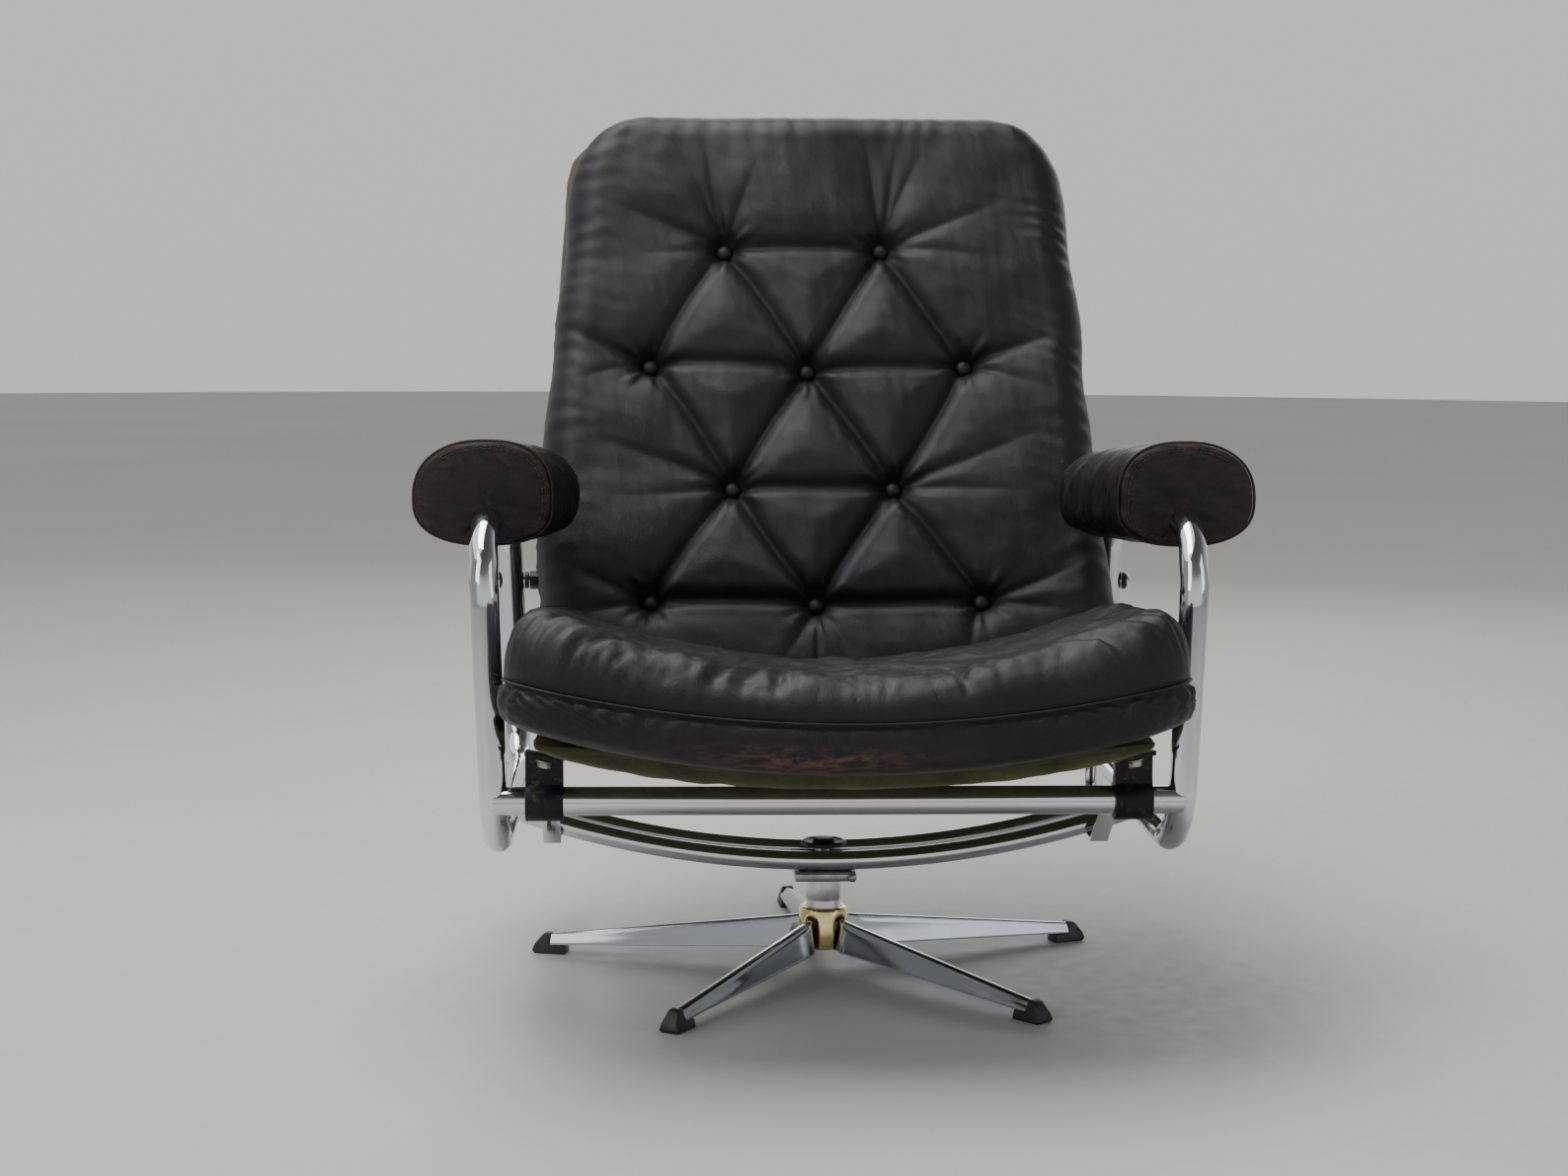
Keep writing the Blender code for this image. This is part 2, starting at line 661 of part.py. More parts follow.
def button_places():
    places = []
    for row, xs in enumerate(((-1.0, 0.0, 1.0), (-0.5, 0.5), (-1.0, 0.0, 1.0), (-0.5, 0.5))):
        for x in xs:
            places.append((x * PITCH, row * ROW))
    return places


def face_n(x, s, half):
    """Height of the stuffed face above button level."""
    n = PUFF
    edge = max(0.0, 1.0 - abs(x) / half)
    n *= min(1.0, (edge / 0.10)) ** 0.5 if edge < 0.10 else 1.0
    for bx, bs in button_places():
        d2 = (x - bx) ** 2 + (s - bs) ** 2
        n -= (PUFF + 0.0015) * math.exp(-d2 / (2.0 * 0.017 ** 2))
    return n


def back_cushion_piece():
    rings = []
    step = ROW / 8.0
    levels = [BACK_S[0], BACK_S[0] + 0.006, BACK_S[0] + 0.018]
    levels += [i * step for i in range(-4, 31)]
    levels += [BACK_S[1] - 0.030, BACK_S[1] - 0.014, BACK_S[1] - 0.005, BACK_S[1]]
    levels = [s for i, s in enumerate(levels) if i == 0 or s > levels[i - 1] + 0.003]
    columns = 30
    for s in levels:
        half = back_half(s)
        end = min(s - BACK_S[0], BACK_S[1] - s)
        swell = math.sqrt(max(0.0, 1.0 - max(0.0, 1.0 - end / 0.045) ** 2))
        swell = max(0.30, swell)
        ring = []
        for k in range(columns + 1):
            u = -1.0 + 2.0 * k / columns
            x = u * 0.2595 if abs(u) < 0.999 else u * (half - 0.018)
            x = max(-half + 0.018, min(half - 0.018, x))
            n = -BACK_T * 0.5 + (BACK_T * 0.5 + face_n(x, s, half)) * swell
            if k in (0, columns):
                n = -BACK_T * 0.5 + (BACK_T * 0.5 - 0.004) * swell
            ring.append(back_point(x, s, n))
        flank = ((half - 0.004, -0.014), (half, -0.032), (half - 0.014, -0.050),
                 (half - 0.026, -0.066), (half - 0.030, -BACK_T))
        for w, n in flank:
            nn = -BACK_T * 0.5 + (BACK_T * 0.5 + n) * swell
            ring.append(back_point(w, s, nn))
        for w in (0.5, 0.0, -0.5):
            ring.append(back_point(w * half, s, -BACK_T * 0.5 - BACK_T * 0.5 * swell))
        for w, n in reversed(flank):
            nn = -BACK_T * 0.5 + (BACK_T * 0.5 + n) * swell
            ring.append(back_point(-w, s, nn))
        rings.append(ring)
    return loft(rings)


def back_shell_half(s):
    """Half width of the back shell: a little narrower than the cushion, with squarer corners."""
    width = back_half(min(s, BACK_S[1] - 0.083)) - 0.002
    top = BACK_S[1] + SHELL_RISE
    if s > top - 0.058:
        u = (s - (top - 0.058)) / 0.058
        width -= 0.058 * (1.0 - math.sqrt(max(0.0, 1.0 - u * u)))
    return min(width, SHELL_BACK_HALF) if s < 0.25 else width


def back_shell_piece():
    rings = []
    rows = 26
    s0 = BACK_S[0] - 0.010
    s1 = BACK_S[1] + SHELL_RISE
    for i in range(rows):
        t = 0.5 - 0.5 * math.cos(math.pi * i / (rows - 1.0))
        s = s0 + (s1 - s0) * t
        half = back_shell_half(s)
        end = min(s - s0, s1 - s)
        swell = max(0.35, math.sqrt(max(0.0, 1.0 - max(0.0, 1.0 - end / 0.012) ** 2)))
        front = -BACK_T - GAP
        deep = 0.030
        mid = front - deep / 2.0
        ring = []
        for u, v in SHELL_SECTION:
            ring.append(back_point(u * half, s, mid + v * deep * 0.5 * swell))
        rings.append(ring)
    return loft(rings)


def slot_plate_piece(side):
    """Sector plate with its arc slot, centred on the tilt axis."""
    y0 = LOOP_Y[0] + COL_Y
    ry = LOOP_Y[1] - LOOP_Y[0]
    rz = BOLT_Z - BAR_Z
    radius = math.hypot(ry, rz)
    middle = math.degrees(math.atan2(rz, ry))
    low = middle + TILT_RANGE[0] - 0.45
    high = middle + TILT_RANGE[1] + 0.45
    shapes = []
    for margin, width in ((1.3, 0.0135), (0.0, BOLT_R + 0.0008)):
        steps = 12
        outline = []
        for sign in (1.0, -1.0):
            for k in range(steps + 1):
                t = k / steps if sign > 0 else 1.0 - k / steps
                a = math.radians((low - margin) + (high - low + 2.0 * margin) * t)
                r = radius + sign * width
                outline.append((y0 + r * math.cos(a), BAR_Z + r * math.sin(a)))
        shapes.append(outline)
    plate = prism(shapes[0], side * SLOT_X - 0.0020, side * SLOT_X + 0.0020)
    slot = prism(shapes[1], side * SLOT_X - 0.0060, side * SLOT_X + 0.0060)
    return plate, slot


def under_shell(x, y, drop):
    """Point a given distance below the underside of the shell; y from the pedestal axis."""
    return (x, y + COL_Y, shell_z(x, y) - drop)


def hanger_piece(side):
    """Sleeve round the crossbar with a web and a flange lying along the shell."""
    y = LOOP_Y[0]
    sleeve = []
    r = 0.0185
    for k in range(21):
        a = math.radians(118.0 + (422.0 - 118.0) * k / 20.0)
        sleeve.append((y + r * math.cos(a), BAR_Z + r * math.sin(a)))
    top, low = FLANGE_DROP
    flange = ((y + 0.0068, low + 0.0008), (y + 0.0220, low), (y + 0.0220, top),
              (y - 0.0245, top), (y - 0.0245, low), (y - 0.0068, low + 0.0008))
    rings = []
    for end in (-0.5, 0.5):
        x = side * HANGER_X + end * HANGER_W
        ring = [(x, p[0] + COL_Y, p[1]) for p in sleeve]
        ring.append((x, y + 0.0068 + COL_Y, 0.2400))
        ring += [under_shell(x, p[0], p[1]) for p in flange]
        ring.append((x, y - 0.0068 + COL_Y, 0.2400))
        rings.append(ring)
    count = len(rings[0])
    verts = rings[0] + rings[1]
    faces = [tuple(range(count)), tuple(range(count, 2 * count))]
    for j in range(count):
        k = (j + 1) % count
        faces.append((j, k, count + k, count + j))
    return verts, faces


def screw_rings(side, levels, sides):
    """Rings of (drop, radius) hanging below the shell at one hanger screw."""
    rings = []
    y = LOOP_Y[0] - 0.0150
    for drop, radius in levels:
        ring = []
        for k in range(sides):
            a = 2.0 * math.pi * k / sides
            x = side * HANGER_X + radius * math.cos(a)
            ring.append(under_shell(x, y + radius * math.sin(a), drop))
        rings.append(ring)
    return rings


def build_seat(body, parts, cutters):
    shell = slab_rings(SHELL_Y, lambda y: SHELL_HALF, shell_z, lambda x, y: shell_z(x, y) + SHELL_T,
                       18, 0.018, 0.012, 0.42)
    new_object("seat_shell", *loft(shell, strip_caps=True), "olive_velour", body, parts)
    cushion = slab_rings(SEAT_Y, seat_half, lambda x, y: shell_z(x, y) + SHELL_T + 0.0008, seat_top,
                         22, 0.055, 0.040, 0.38)
    new_object("seat_cushion", *loft(cushion, strip_caps=True), "leather", body, parts)
    bore = sweep([(-0.33, LOOP_Y[0] + COL_Y, BAR_Z), (0.33, LOOP_Y[0] + COL_Y, BAR_Z)], TUBE_R + GAP, 28)
    bore_cut = make_cutter("cut_bar", bore, cutters)
    for side, tag in ((-1.0, "L"), (1.0, "R")):
        hanger = new_object("hanger_" + tag, *hanger_piece(side), "black_plastic", body, parts)
        cut(hanger, bore_cut)
        washer = screw_rings(side, ((0.0060, 0.0075), (0.0072, 0.0075)), 20)
        new_object("hanger_washer_" + tag, *loft(washer), "zinc", body, parts)
        head = screw_rings(side, ((0.0075, 0.0064), (0.0121, 0.0064), (0.0128, 0.0058)), 6)
        new_object("hanger_bolt_" + tag, *loft(head), "zinc", body, parts)


def build_back(body, parts, cutters):
    new_object("back_cushion", *back_cushion_piece(), "leather", body, parts)
    new_object("back_shell", *back_shell_piece(), "olive_velour", body, parts)
    for number, (x, s) in enumerate(button_places()):
        profile = ((0.0, 0.0), (0.0060, 0.0), (BUTTON_R, 0.0018), (BUTTON_R - 0.0006, 0.0036),
                   (0.0055, 0.0056), (0.0, 0.0064))
        verts, faces = lathe(profile, 12, (0.0, 0.0, 0.0))
        verts = [back_point(x + v[0], s + v[1], 0.0032 + v[2]) for v in verts]
        new_object("button_%02d" % (number + 1), verts, faces, "leather", body, parts)
    for side, tag in ((-1.0, "L"), (1.0, "R")):
        plate, slot = slot_plate_piece(side)
        plate_obj = new_object("slot_plate_" + tag, *plate, "black_steel", body, parts)
        cut(plate_obj, make_cutter("cut_slot_" + tag, slot, cutters))


def main():
    clear_scene()
    parts = make_collection("swivel_recliner_armchair")
    cutters = make_collection("cutters")
    base = empty("base", (0.0, COL_Y, 0.0), parts)
    frame = empty("frame", (0.0, COL_Y, PLATE_Z), parts)
    seat = empty("seat_unit", (0.0, LOOP_Y[0] + COL_Y, BAR_Z), parts)
    build_base(base, parts, cutters)
    build_frame(frame, parts, cutters)
    build_seat(seat, parts, cutters)
    build_back(seat, parts, cutters)


main()
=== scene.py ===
"""Visual model of the swivel recliner armchair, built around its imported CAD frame.
Metres, +Z up, the chair faces -Y."""
import math

import bmesh
import bpy
import numpy as np
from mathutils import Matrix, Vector


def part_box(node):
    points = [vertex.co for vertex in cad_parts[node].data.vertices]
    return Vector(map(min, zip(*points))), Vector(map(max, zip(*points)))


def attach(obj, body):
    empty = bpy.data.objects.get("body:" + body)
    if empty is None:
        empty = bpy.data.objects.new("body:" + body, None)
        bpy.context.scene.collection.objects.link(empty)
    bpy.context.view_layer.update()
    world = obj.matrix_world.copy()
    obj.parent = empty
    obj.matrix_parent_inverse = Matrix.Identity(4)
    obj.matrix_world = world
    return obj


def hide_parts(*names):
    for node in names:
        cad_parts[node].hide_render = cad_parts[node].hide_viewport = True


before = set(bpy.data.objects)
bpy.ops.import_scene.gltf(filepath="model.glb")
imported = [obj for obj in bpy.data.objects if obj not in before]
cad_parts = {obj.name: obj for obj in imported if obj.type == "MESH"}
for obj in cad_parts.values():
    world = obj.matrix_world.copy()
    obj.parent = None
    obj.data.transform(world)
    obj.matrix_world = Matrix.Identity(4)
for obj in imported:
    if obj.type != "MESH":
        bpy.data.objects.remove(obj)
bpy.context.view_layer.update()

# ---- places taken from the CAD ----
COL_LO, COL_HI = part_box("column")
COL_Y = 0.5 * (COL_LO.y + COL_HI.y)
LOOP_LO, LOOP_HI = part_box("side_frame_R")
BAR_LO, BAR_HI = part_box("crossbar")
RAIL_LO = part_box("rail_front")[0]

TUBE_R = 0.5 * (BAR_HI.z - BAR_LO.z)
BAR_Z = 0.5 * (BAR_HI.z + BAR_LO.z)
BAR_Y = 0.5 * (BAR_HI.y + BAR_LO.y)
LOOP_Y = (LOOP_LO.y + TUBE_R, LOOP_HI.y - TUBE_R)
LOOP_Z = (LOOP_LO.z + TUBE_R, 0.4740)
LOOP_X = 0.3198           # half spacing of the side frames at LOOP_XZ
LOOP_XZ = 0.198
LOOP_LEAN = 0.0400        # sideways lean per metre of height
BEND_FRONT_TOP = 0.078
BEND_REST = 0.064
BEND_REAR_TOP = 0.048
ARM_SLOPE = 0.06          # drop of the arm tubes per metre towards the back
RAIL_R = 0.0097
RAIL_Z = RAIL_LO.z + RAIL_R
RAIL_BOW = 0.95
RAIL_Y = 0.0305

# on the back, x runs across, s up the lean and n out of the face, from the lowest button row
BACK_LEAN = math.radians(24.7)
BACK_FOOT = (0.140 + COL_Y, 0.357)
BACK_S = (-0.105, 0.5780)
BACK_T = 0.085
BACK_CORNER = 0.082
BACK_EDGE = 0.040         # rounding between the face and the flanks
WIDE_N = -0.034           # plane of the cushion's widest section
PUFF = 0.020              # rise of the stuffing above button level
GATHER = 0.0235           # pitch of the gathers along the side edges
BUTTON_R = 0.0088

LEG_REACH = (0.0178, 0.2855)

SHELL_Y0 = -0.330
SEAT_Z = 0.2425
SEAT_DISH = 0.37
SEAT_SLOPE = 0.105
SEAT_LIP = 0.0066
SHELL_HALF = 0.283
SHELL_T = 0.0220
SEAT_Y = (-0.420, 0.062)
SEAT_HALF = 0.306
SEAT_CORNER = 0.055
SEAT_ROLL = 0.046         # depth of the rolled edge above the seam
SEAM_RISE = 0.0493        # height of the seam above the shell

PAD_Y = (-0.163, 0.137)
PAD_Z = (0.4480, 0.5445)
PAD_X = 0.3333
PAD_HALF = 0.0645


# ---------------------------------------------------------------- small helpers

def waves(x, y, seed, length, count=9):
    """Smooth repeatable noise of about unit height with the given wavelength."""
    rng = np.random.RandomState(seed)
    total = np.zeros_like(x, dtype=float)
    for _ in range(count):
        a = rng.uniform(0.0, 2.0 * math.pi)
        k = 2.0 * math.pi / (length * rng.uniform(0.7, 1.5))
        total += np.cos(k * (x * math.cos(a) + y * math.sin(a)) + rng.uniform(0.0, 6.283))
    return total / math.sqrt(count)


def smooth(t):
    t = np.clip(t, 0.0, 1.0)
    return t * t * (3.0 - 2.0 * t)


def grid_faces(rows, cols, wrap_rows=False, wrap_cols=False, start=0):
    faces = []
    for i in range(rows if wrap_rows else rows - 1):
        a = start + i * cols
        b = start + ((i + 1) % rows) * cols
        for j in range(cols if wrap_cols else cols - 1):
            k = (j + 1) % cols
            faces.append((a + j, a + k, b + k, b + j))
    return faces


def make(name, verts, faces, mat, body, sharp=None, link_slot=None, stand_for=()):
    """Mesh object in the row frame, riding on a CAD body."""
    mesh = bpy.data.meshes.new(name)
    mesh.from_pydata([tuple(map(float, v)) for v in verts], [], faces)
    bm = bmesh.new()
    bm.from_mesh(mesh)
    bmesh.ops.remove_doubles(bm, verts=bm.verts, dist=0.000002)
    bmesh.ops.recalc_face_normals(bm, faces=bm.faces)
    bm.to_mesh(mesh)
    bm.free()
    for poly in mesh.polygons:
        poly.use_smooth = True
    if sharp is not None:
        mesh.set_sharp_from_angle(angle=math.radians(sharp))
    mesh.materials.append(mat)
    obj = bpy.data.objects.new(name, mesh)
    bpy.context.scene.collection.objects.link(obj)
    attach(obj, body)
    if stand_for:
        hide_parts(*stand_for)
    return obj


def bake_modifiers(obj):
    """Replace the mesh by its evaluated self."""
    graph = bpy.context.evaluated_depsgraph_get()
    mesh = bpy.data.meshes.new_from_object(obj.evaluated_get(graph))
    obj.modifiers.clear()
    obj.data = mesh


def bevel(obj, width, segments=2, angle=35.0):
    mod = obj.modifiers.new("edge", "BEVEL")
    mod.width = width
    mod.segments = segments
    mod.limit_method = "ANGLE"
    mod.angle_limit = math.radians(angle)
    mod.harden_normals = False


def sweep(points, radius, sides, cyclic=False):
    """Round bar along points; radius may be one number or one per point."""
    path = np.array(points, dtype=float)
    total = len(path)
    radii = np.full(total, radius) if np.isscalar(radius) else np.array(radius)
    rings = []
    normal = None
    for i in range(total):
        if cyclic:
            tangent = path[(i + 1) % total] - path[i - 1]
        else:
            tangent = path[min(i + 1, total - 1)] - path[max(i - 1, 0)]
        tangent = tangent / np.linalg.norm(tangent)
        if normal is None:
            upright = abs(tangent[2]) >= 0.7
            normal = np.array((1.0, 0.0, 0.0) if upright else (0.0, 0.0, 1.0))
        normal = normal - tangent * np.dot(normal, tangent)
        normal = normal / np.linalg.norm(normal)
        side = np.cross(tangent, normal)
        ang = 2.0 * math.pi * (np.arange(sides) + 0.5) / sides
        ring = path[i] + radii[i] * (np.outer(np.cos(ang), normal) + np.outer(np.sin(ang), side))
        rings.append(ring)
    verts = np.concatenate(rings)
    if cyclic:
        return verts, grid_faces(total, sides, wrap_rows=True, wrap_cols=True)
    return verts, capped(total, sides)


def lathe(profile, sides, centre, wobble=None, closed=False):
    """Turn (radius, height) pairs about the vertical through centre."""
    up = Vector((0.0, 0.0, 1.0))
    side = up.orthogonal().normalized()
    other = up.cross(side)
    verts = []
    for k in range(sides):
        a = 2.0 * math.pi * k / sides
        scale = wobble(a) if wobble else 1.0
        out = side * math.cos(a) + other * math.sin(a)
        for r, h in profile:
            verts.append(Vector(centre) + out * (r * scale) + up * h)
    count = len(profile)
    faces = grid_faces(sides, count, wrap_rows=True, wrap_cols=closed)
    return verts, faces


def capped(rings, count):
    """Faces of a loft through closed rings, with both ends closed."""
    faces = grid_faces(rings, count, wrap_cols=True)
    faces.append(tuple(range(count)))
    faces.append(tuple(range((rings - 1) * count, rings * count)))
    return faces


def merge(*parts):
    verts = []
    faces = []
    for vs, fs in parts:
        base = len(verts)
        verts.extend(vs)
        faces.extend(tuple(i + base for i in f) for f in fs)
    return verts, faces


def attribute(obj, name, values):
    layer = obj.data.attributes.new(name, "FLOAT", "POINT")
    layer.data.foreach_set("value", np.asarray(values, dtype=np.float32))


def coords(obj):
    co = np.zeros(len(obj.data.vertices) * 3, np.float32)
    obj.data.vertices.foreach_get("co", co)
    return co.reshape(-1, 3).astype(float)


# ---------------------------------------------------------------- materials

class Nodes:
    """Short way to build one material's node tree."""

    def __init__(self, name):
        self.mat = bpy.data.materials.new(name)
        self.mat.use_nodes = True
        self.tree = self.mat.node_tree
        self.shader = self.tree.nodes["Principled BSDF"]
        self.coord = self.tree.nodes.new("ShaderNodeTexCoord").outputs["Object"]

    def node(self, kind, **values):
        made = self.tree.nodes.new(kind)
        for key, value in values.items():
            setattr(made, key, value)
        return made

    def link(self, a, b):
        self.tree.links.new(a, b)

    def stretch(self, scale):
        node = self.node("ShaderNodeMapping")
        node.inputs["Scale"].default_value = scale
        self.link(self.coord, node.inputs["Vector"])
        return node.outputs["Vector"]

    def noise(self, scale, detail=3.0, rough=0.5, vector=None, distort=0.0):
        node = self.node("ShaderNodeTexNoise")
        node.inputs["Scale"].default_value = scale
        node.inputs["Detail"].default_value = detail
        node.inputs["Roughness"].default_value = rough
        node.inputs["Distortion"].default_value = distort
        self.link(vector or self.coord, node.inputs["Vector"])
        return node.outputs["Fac"]

    def cells(self, scale, feature="F1", vector=None):
        node = self.node("ShaderNodeTexVoronoi", feature=feature)
        node.inputs["Scale"].default_value = scale
        self.link(vector or self.coord, node.inputs["Vector"])
        return node.outputs["Distance"]

    def span(self, value, low, high, to_low=0.0, to_high=1.0):
        node = self.node("ShaderNodeMapRange")
        for key, number in (("From Min", low), ("From Max", high), ("To Min", to_low), ("To Max", to_high)):
            node.inputs[key].default_value = number
        self.link(value, node.inputs["Value"])
        return node.outputs["Result"]

    def math(self, kind, a, b):
        node = self.node("ShaderNodeMath", operation=kind)
        for socket, value in zip(node.inputs, (a, b)):
            if isinstance(value, (int, float)):
                socket.default_value = value
            else:
                self.link(value, socket)
        return node.outputs["Value"]

    def mix(self, fac, a, b):
        node = self.node("ShaderNodeMix", data_type="RGBA")
        self.link(fac, node.inputs["Factor"])
        for key, value in (("A", a), ("B", b)):
            socket = [s for s in node.inputs if s.name == key and s.type == "RGBA"][0]
            if isinstance(value, tuple):
                socket.default_value = (*value, 1.0)
            else:
                self.link(value, socket)
        return [s for s in node.outputs if s.type == "RGBA"][0]

    def value(self, name):
        node = self.node("ShaderNodeAttribute", attribute_name=name)
        return node.outputs["Fac"]

    def bump(self, height, distance, strength=1.0, under=None):
        node = self.node("ShaderNodeBump")
        node.inputs["Distance"].default_value = distance
        node.inputs["Strength"].default_value = strength
        self.link(height, node.inputs["Height"])
        if under is not None:
            self.link(under, node.inputs["Normal"])
        return node.outputs["Normal"]

    def finish(self, colour=None, rough=None, normal=None, **numbers):
        for key, source in (("Base Color", colour), ("Roughness", rough), ("Normal", normal)):
            if isinstance(source, tuple):
                self.shader.inputs[key].default_value = (*source, 1.0)
            elif isinstance(source, float):
                self.shader.inputs[key].default_value = source
            elif source is not None:
                self.link(source, self.shader.inputs[key])
        for key, number in numbers.items():
            socket = self.shader.inputs[key.replace("_", " ")]
            socket.default_value = number
        return self.mat


def leather(name, dark, light, scuff=None, rough=(0.36, 0.54), grain=1.0):
    n = Nodes(name)
    broad = n.noise(5.0, 3.0, 0.55)
    fine = n.noise(70.0, 5.0, 0.6)
    tone = n.math("ADD", n.math("MULTIPLY", broad, 0.65), n.math("MULTIPLY", fine, 0.35))
    colour = n.mix(n.span(tone, 0.36, 0.64), dark, light)
    pores = n.cells(760.0, "DISTANCE_TO_EDGE")
    warped = n.noise(240.0, 4.0, 0.62, distort=0.6)
    creases = n.noise(38.0, 6.0, 0.66, vector=n.stretch((1.0, 1.0, 1.7)))
    grain_normal = n.bump(n.span(pores, 0.0, 0.22), 0.00022, 0.55 * grain)
    grain_normal = n.bump(warped, 0.00030, 0.30 * grain, grain_normal)
    normal = n.bump(creases, 0.0008, 0.10 * grain, grain_normal)
    gloss = n.span(fine, 0.3, 0.7, rough[0], rough[1])
    ridge_highlight = n.value("ridge_highlight")
    fold = n.value("fold")
    # painted highlight: the leather is lightened towards twice its light tone where the ridge attribute is
    # set, on seam ridges and piping
    colour = n.mix(n.math("MULTIPLY", ridge_highlight, 0.55), colour, tuple(min(1.0, 2.1 * c) for c in light))
    # painted shade: the leather is darkened to a third of its dark tone in the folds and round the buttons,
    # by the fold attribute
    colour = n.mix(fold, colour, tuple(0.30 * c for c in dark))
    gloss = n.math("ADD", gloss, n.math("MULTIPLY", fold, 0.30))
    if scuff is not None:
        patch = n.span(n.noise(90.0, 7.0, 0.72, vector=n.stretch((0.55, 1.0, 1.6))), 0.44, 0.60)
        worn = n.math("MULTIPLY", n.value("wear"), patch)
        colour = n.mix(worn, colour, scuff)
        gloss = n.math("ADD", gloss, n.math("MULTIPLY", worn, 0.2))
    return n.finish(colour, gloss, normal, Specular_IOR_Level=0.32,
                    Specular_Tint=(0.92, 0.93, 1.0, 1.0))


def chrome(name, tint=(0.80, 0.81, 0.83), low=0.05, high=0.16):
    n = Nodes(name)
    smear = n.noise(9.0, 5.0, 0.65, distort=0.4)
    specks = n.noise(420.0, 3.0, 0.7)
    rough = n.span(smear, 0.35, 0.75, low, high)
    rough = n.math("ADD", rough, n.span(specks, 0.66, 0.80, 0.0, 0.16))
    dull = tuple(c * 0.80 for c in tint)
    colour = n.mix(n.span(specks, 0.62, 0.82), tint, dull)
    normal = n.bump(n.noise(26.0, 2.0, 0.5), 0.00045, 0.22)
    return n.finish(colour, rough, normal, Metallic=1.0)


def turned_steel(name, tint=(0.80, 0.81, 0.81)):
    n = Nodes(name)
    rings = n.noise(30.0, 4.0, 0.6, vector=n.stretch((1.0, 1.0, 55.0)))
    smear = n.noise(60.0, 4.0, 0.6)
    rough = n.math("ADD", n.span(rings, 0.3, 0.7, 0.22, 0.40), n.span(smear, 0.4, 0.8, 0.0, 0.12))
    colour = n.mix(rings, tuple(c * 0.78 for c in tint), tint)
    return n.finish(colour, rough, n.bump(rings, 0.0001, 0.5), Metallic=1.0)


def zinc(name, tint=(0.52, 0.52, 0.50)):
    n = Nodes(name)
    flakes = n.cells(260.0)
    stain = n.noise(120.0, 5.0, 0.65)
    colour = n.mix(n.span(stain, 0.35, 0.70), tint, tuple(c * 0.62 for c in tint))
    rough = n.span(stain, 0.3, 0.8, 0.30, 0.58)
    return n.finish(colour, rough, n.bump(flakes, 0.0003, 0.25), Metallic=1.0)


def brass(name):
    n = Nodes(name)
    smear = n.noise(80.0, 5.0, 0.6, distort=0.5)
    colour = n.mix(n.span(smear, 0.35, 0.75), (1.0, 0.84, 0.42), (0.84, 0.64, 0.28))
    rough = n.span(smear, 0.3, 0.8, 0.08, 0.28)
    return n.finish(colour, rough, n.bump(n.noise(150.0, 3.0), 0.0003, 0.2), Metallic=1.0)


def plastic(name, tone=0.012, rough=(0.30, 0.52)):
    n = Nodes(name)
    pebble = n.cells(900.0)
    dust = n.noise(55.0, 6.0, 0.7)
    colour = n.mix(n.span(dust, 0.55, 0.80), (tone, tone, tone * 1.1), (tone * 3.4, tone * 3.3, tone * 3.2))
    normal = n.bump(pebble, 0.00012, 0.5, n.bump(n.noise(30.0, 4.0), 0.0012, 0.15))
    return n.finish(colour, n.span(dust, 0.3, 0.7, rough[0], rough[1]), normal)


def black_steel(name):
    n = Nodes(name)
    rub = n.noise(140.0, 6.0, 0.7)
    colour = n.mix(n.span(rub, 0.56, 0.74), (0.018, 0.018, 0.02), (0.12, 0.085, 0.06))
    return n.finish(colour, n.span(rub, 0.3, 0.7, 0.30, 0.60), n.bump(rub, 0.0004, 0.4), Metallic=0.7)


def velour(name):
    n = Nodes(name)
    nap = n.noise(1500.0, 2.0, 0.7)
    tuft = n.cells(1100.0)
    brushed = n.noise(14.0, 5.0, 0.65, distort=0.8)
    mottle = n.noise(130.0, 5.0, 0.7)
    colour = n.mix(n.span(brushed, 0.35, 0.68), (0.040, 0.039, 0.016), (0.098, 0.094, 0.042))
    colour = n.mix(n.span(mottle, 0.50, 0.80, 0.0, 0.6), colour, (0.028, 0.027, 0.014))
    normal = n.bump(nap, 0.0006, 0.9, n.bump(tuft, 0.0005, 0.6, n.bump(mottle, 0.0018, 0.35)))
    return n.finish(colour, n.span(brushed, 0.3, 0.7, 0.82, 0.97), normal,
                    Sheen_Weight=0.30, Sheen_Roughness=0.45, Sheen_Tint=(0.55, 0.55, 0.36, 1.0))


MATS = {
    "leather": leather("seat_leather", (0.0085, 0.0068, 0.0076), (0.0150, 0.0120, 0.0132),
                       scuff=(0.135, 0.062, 0.046), rough=(0.37, 0.45)),
    "pad_leather": leather("pad_leather", (0.0075, 0.0056, 0.0058), (0.0130, 0.0096, 0.0096),
                           scuff=(0.060, 0.032, 0.024), rough=(0.35, 0.46)),
    "chrome": chrome("chrome_tube", (0.76, 0.77, 0.79)),
    # painted shade: the legs get a darker copy of the tube chrome, standing in for the dark reflections along
    # their tops
    "leg_chrome": chrome("chrome_leg_painted_dark", (0.40, 0.415, 0.44), 0.08, 0.20),
    "steel": turned_steel("turned_steel"),
    "zinc": zinc("zinc_plate"),
    "brass": brass("brass_cover"),
    "plastic": plastic("black_plastic"),
    "black_steel": black_steel("blackened_steel"),
    "velour": velour("olive_velour"),
    "thread": plastic("waxed_thread", 0.030, (0.45, 0.65)),
}


# ---------------------------------------------------------------- camera

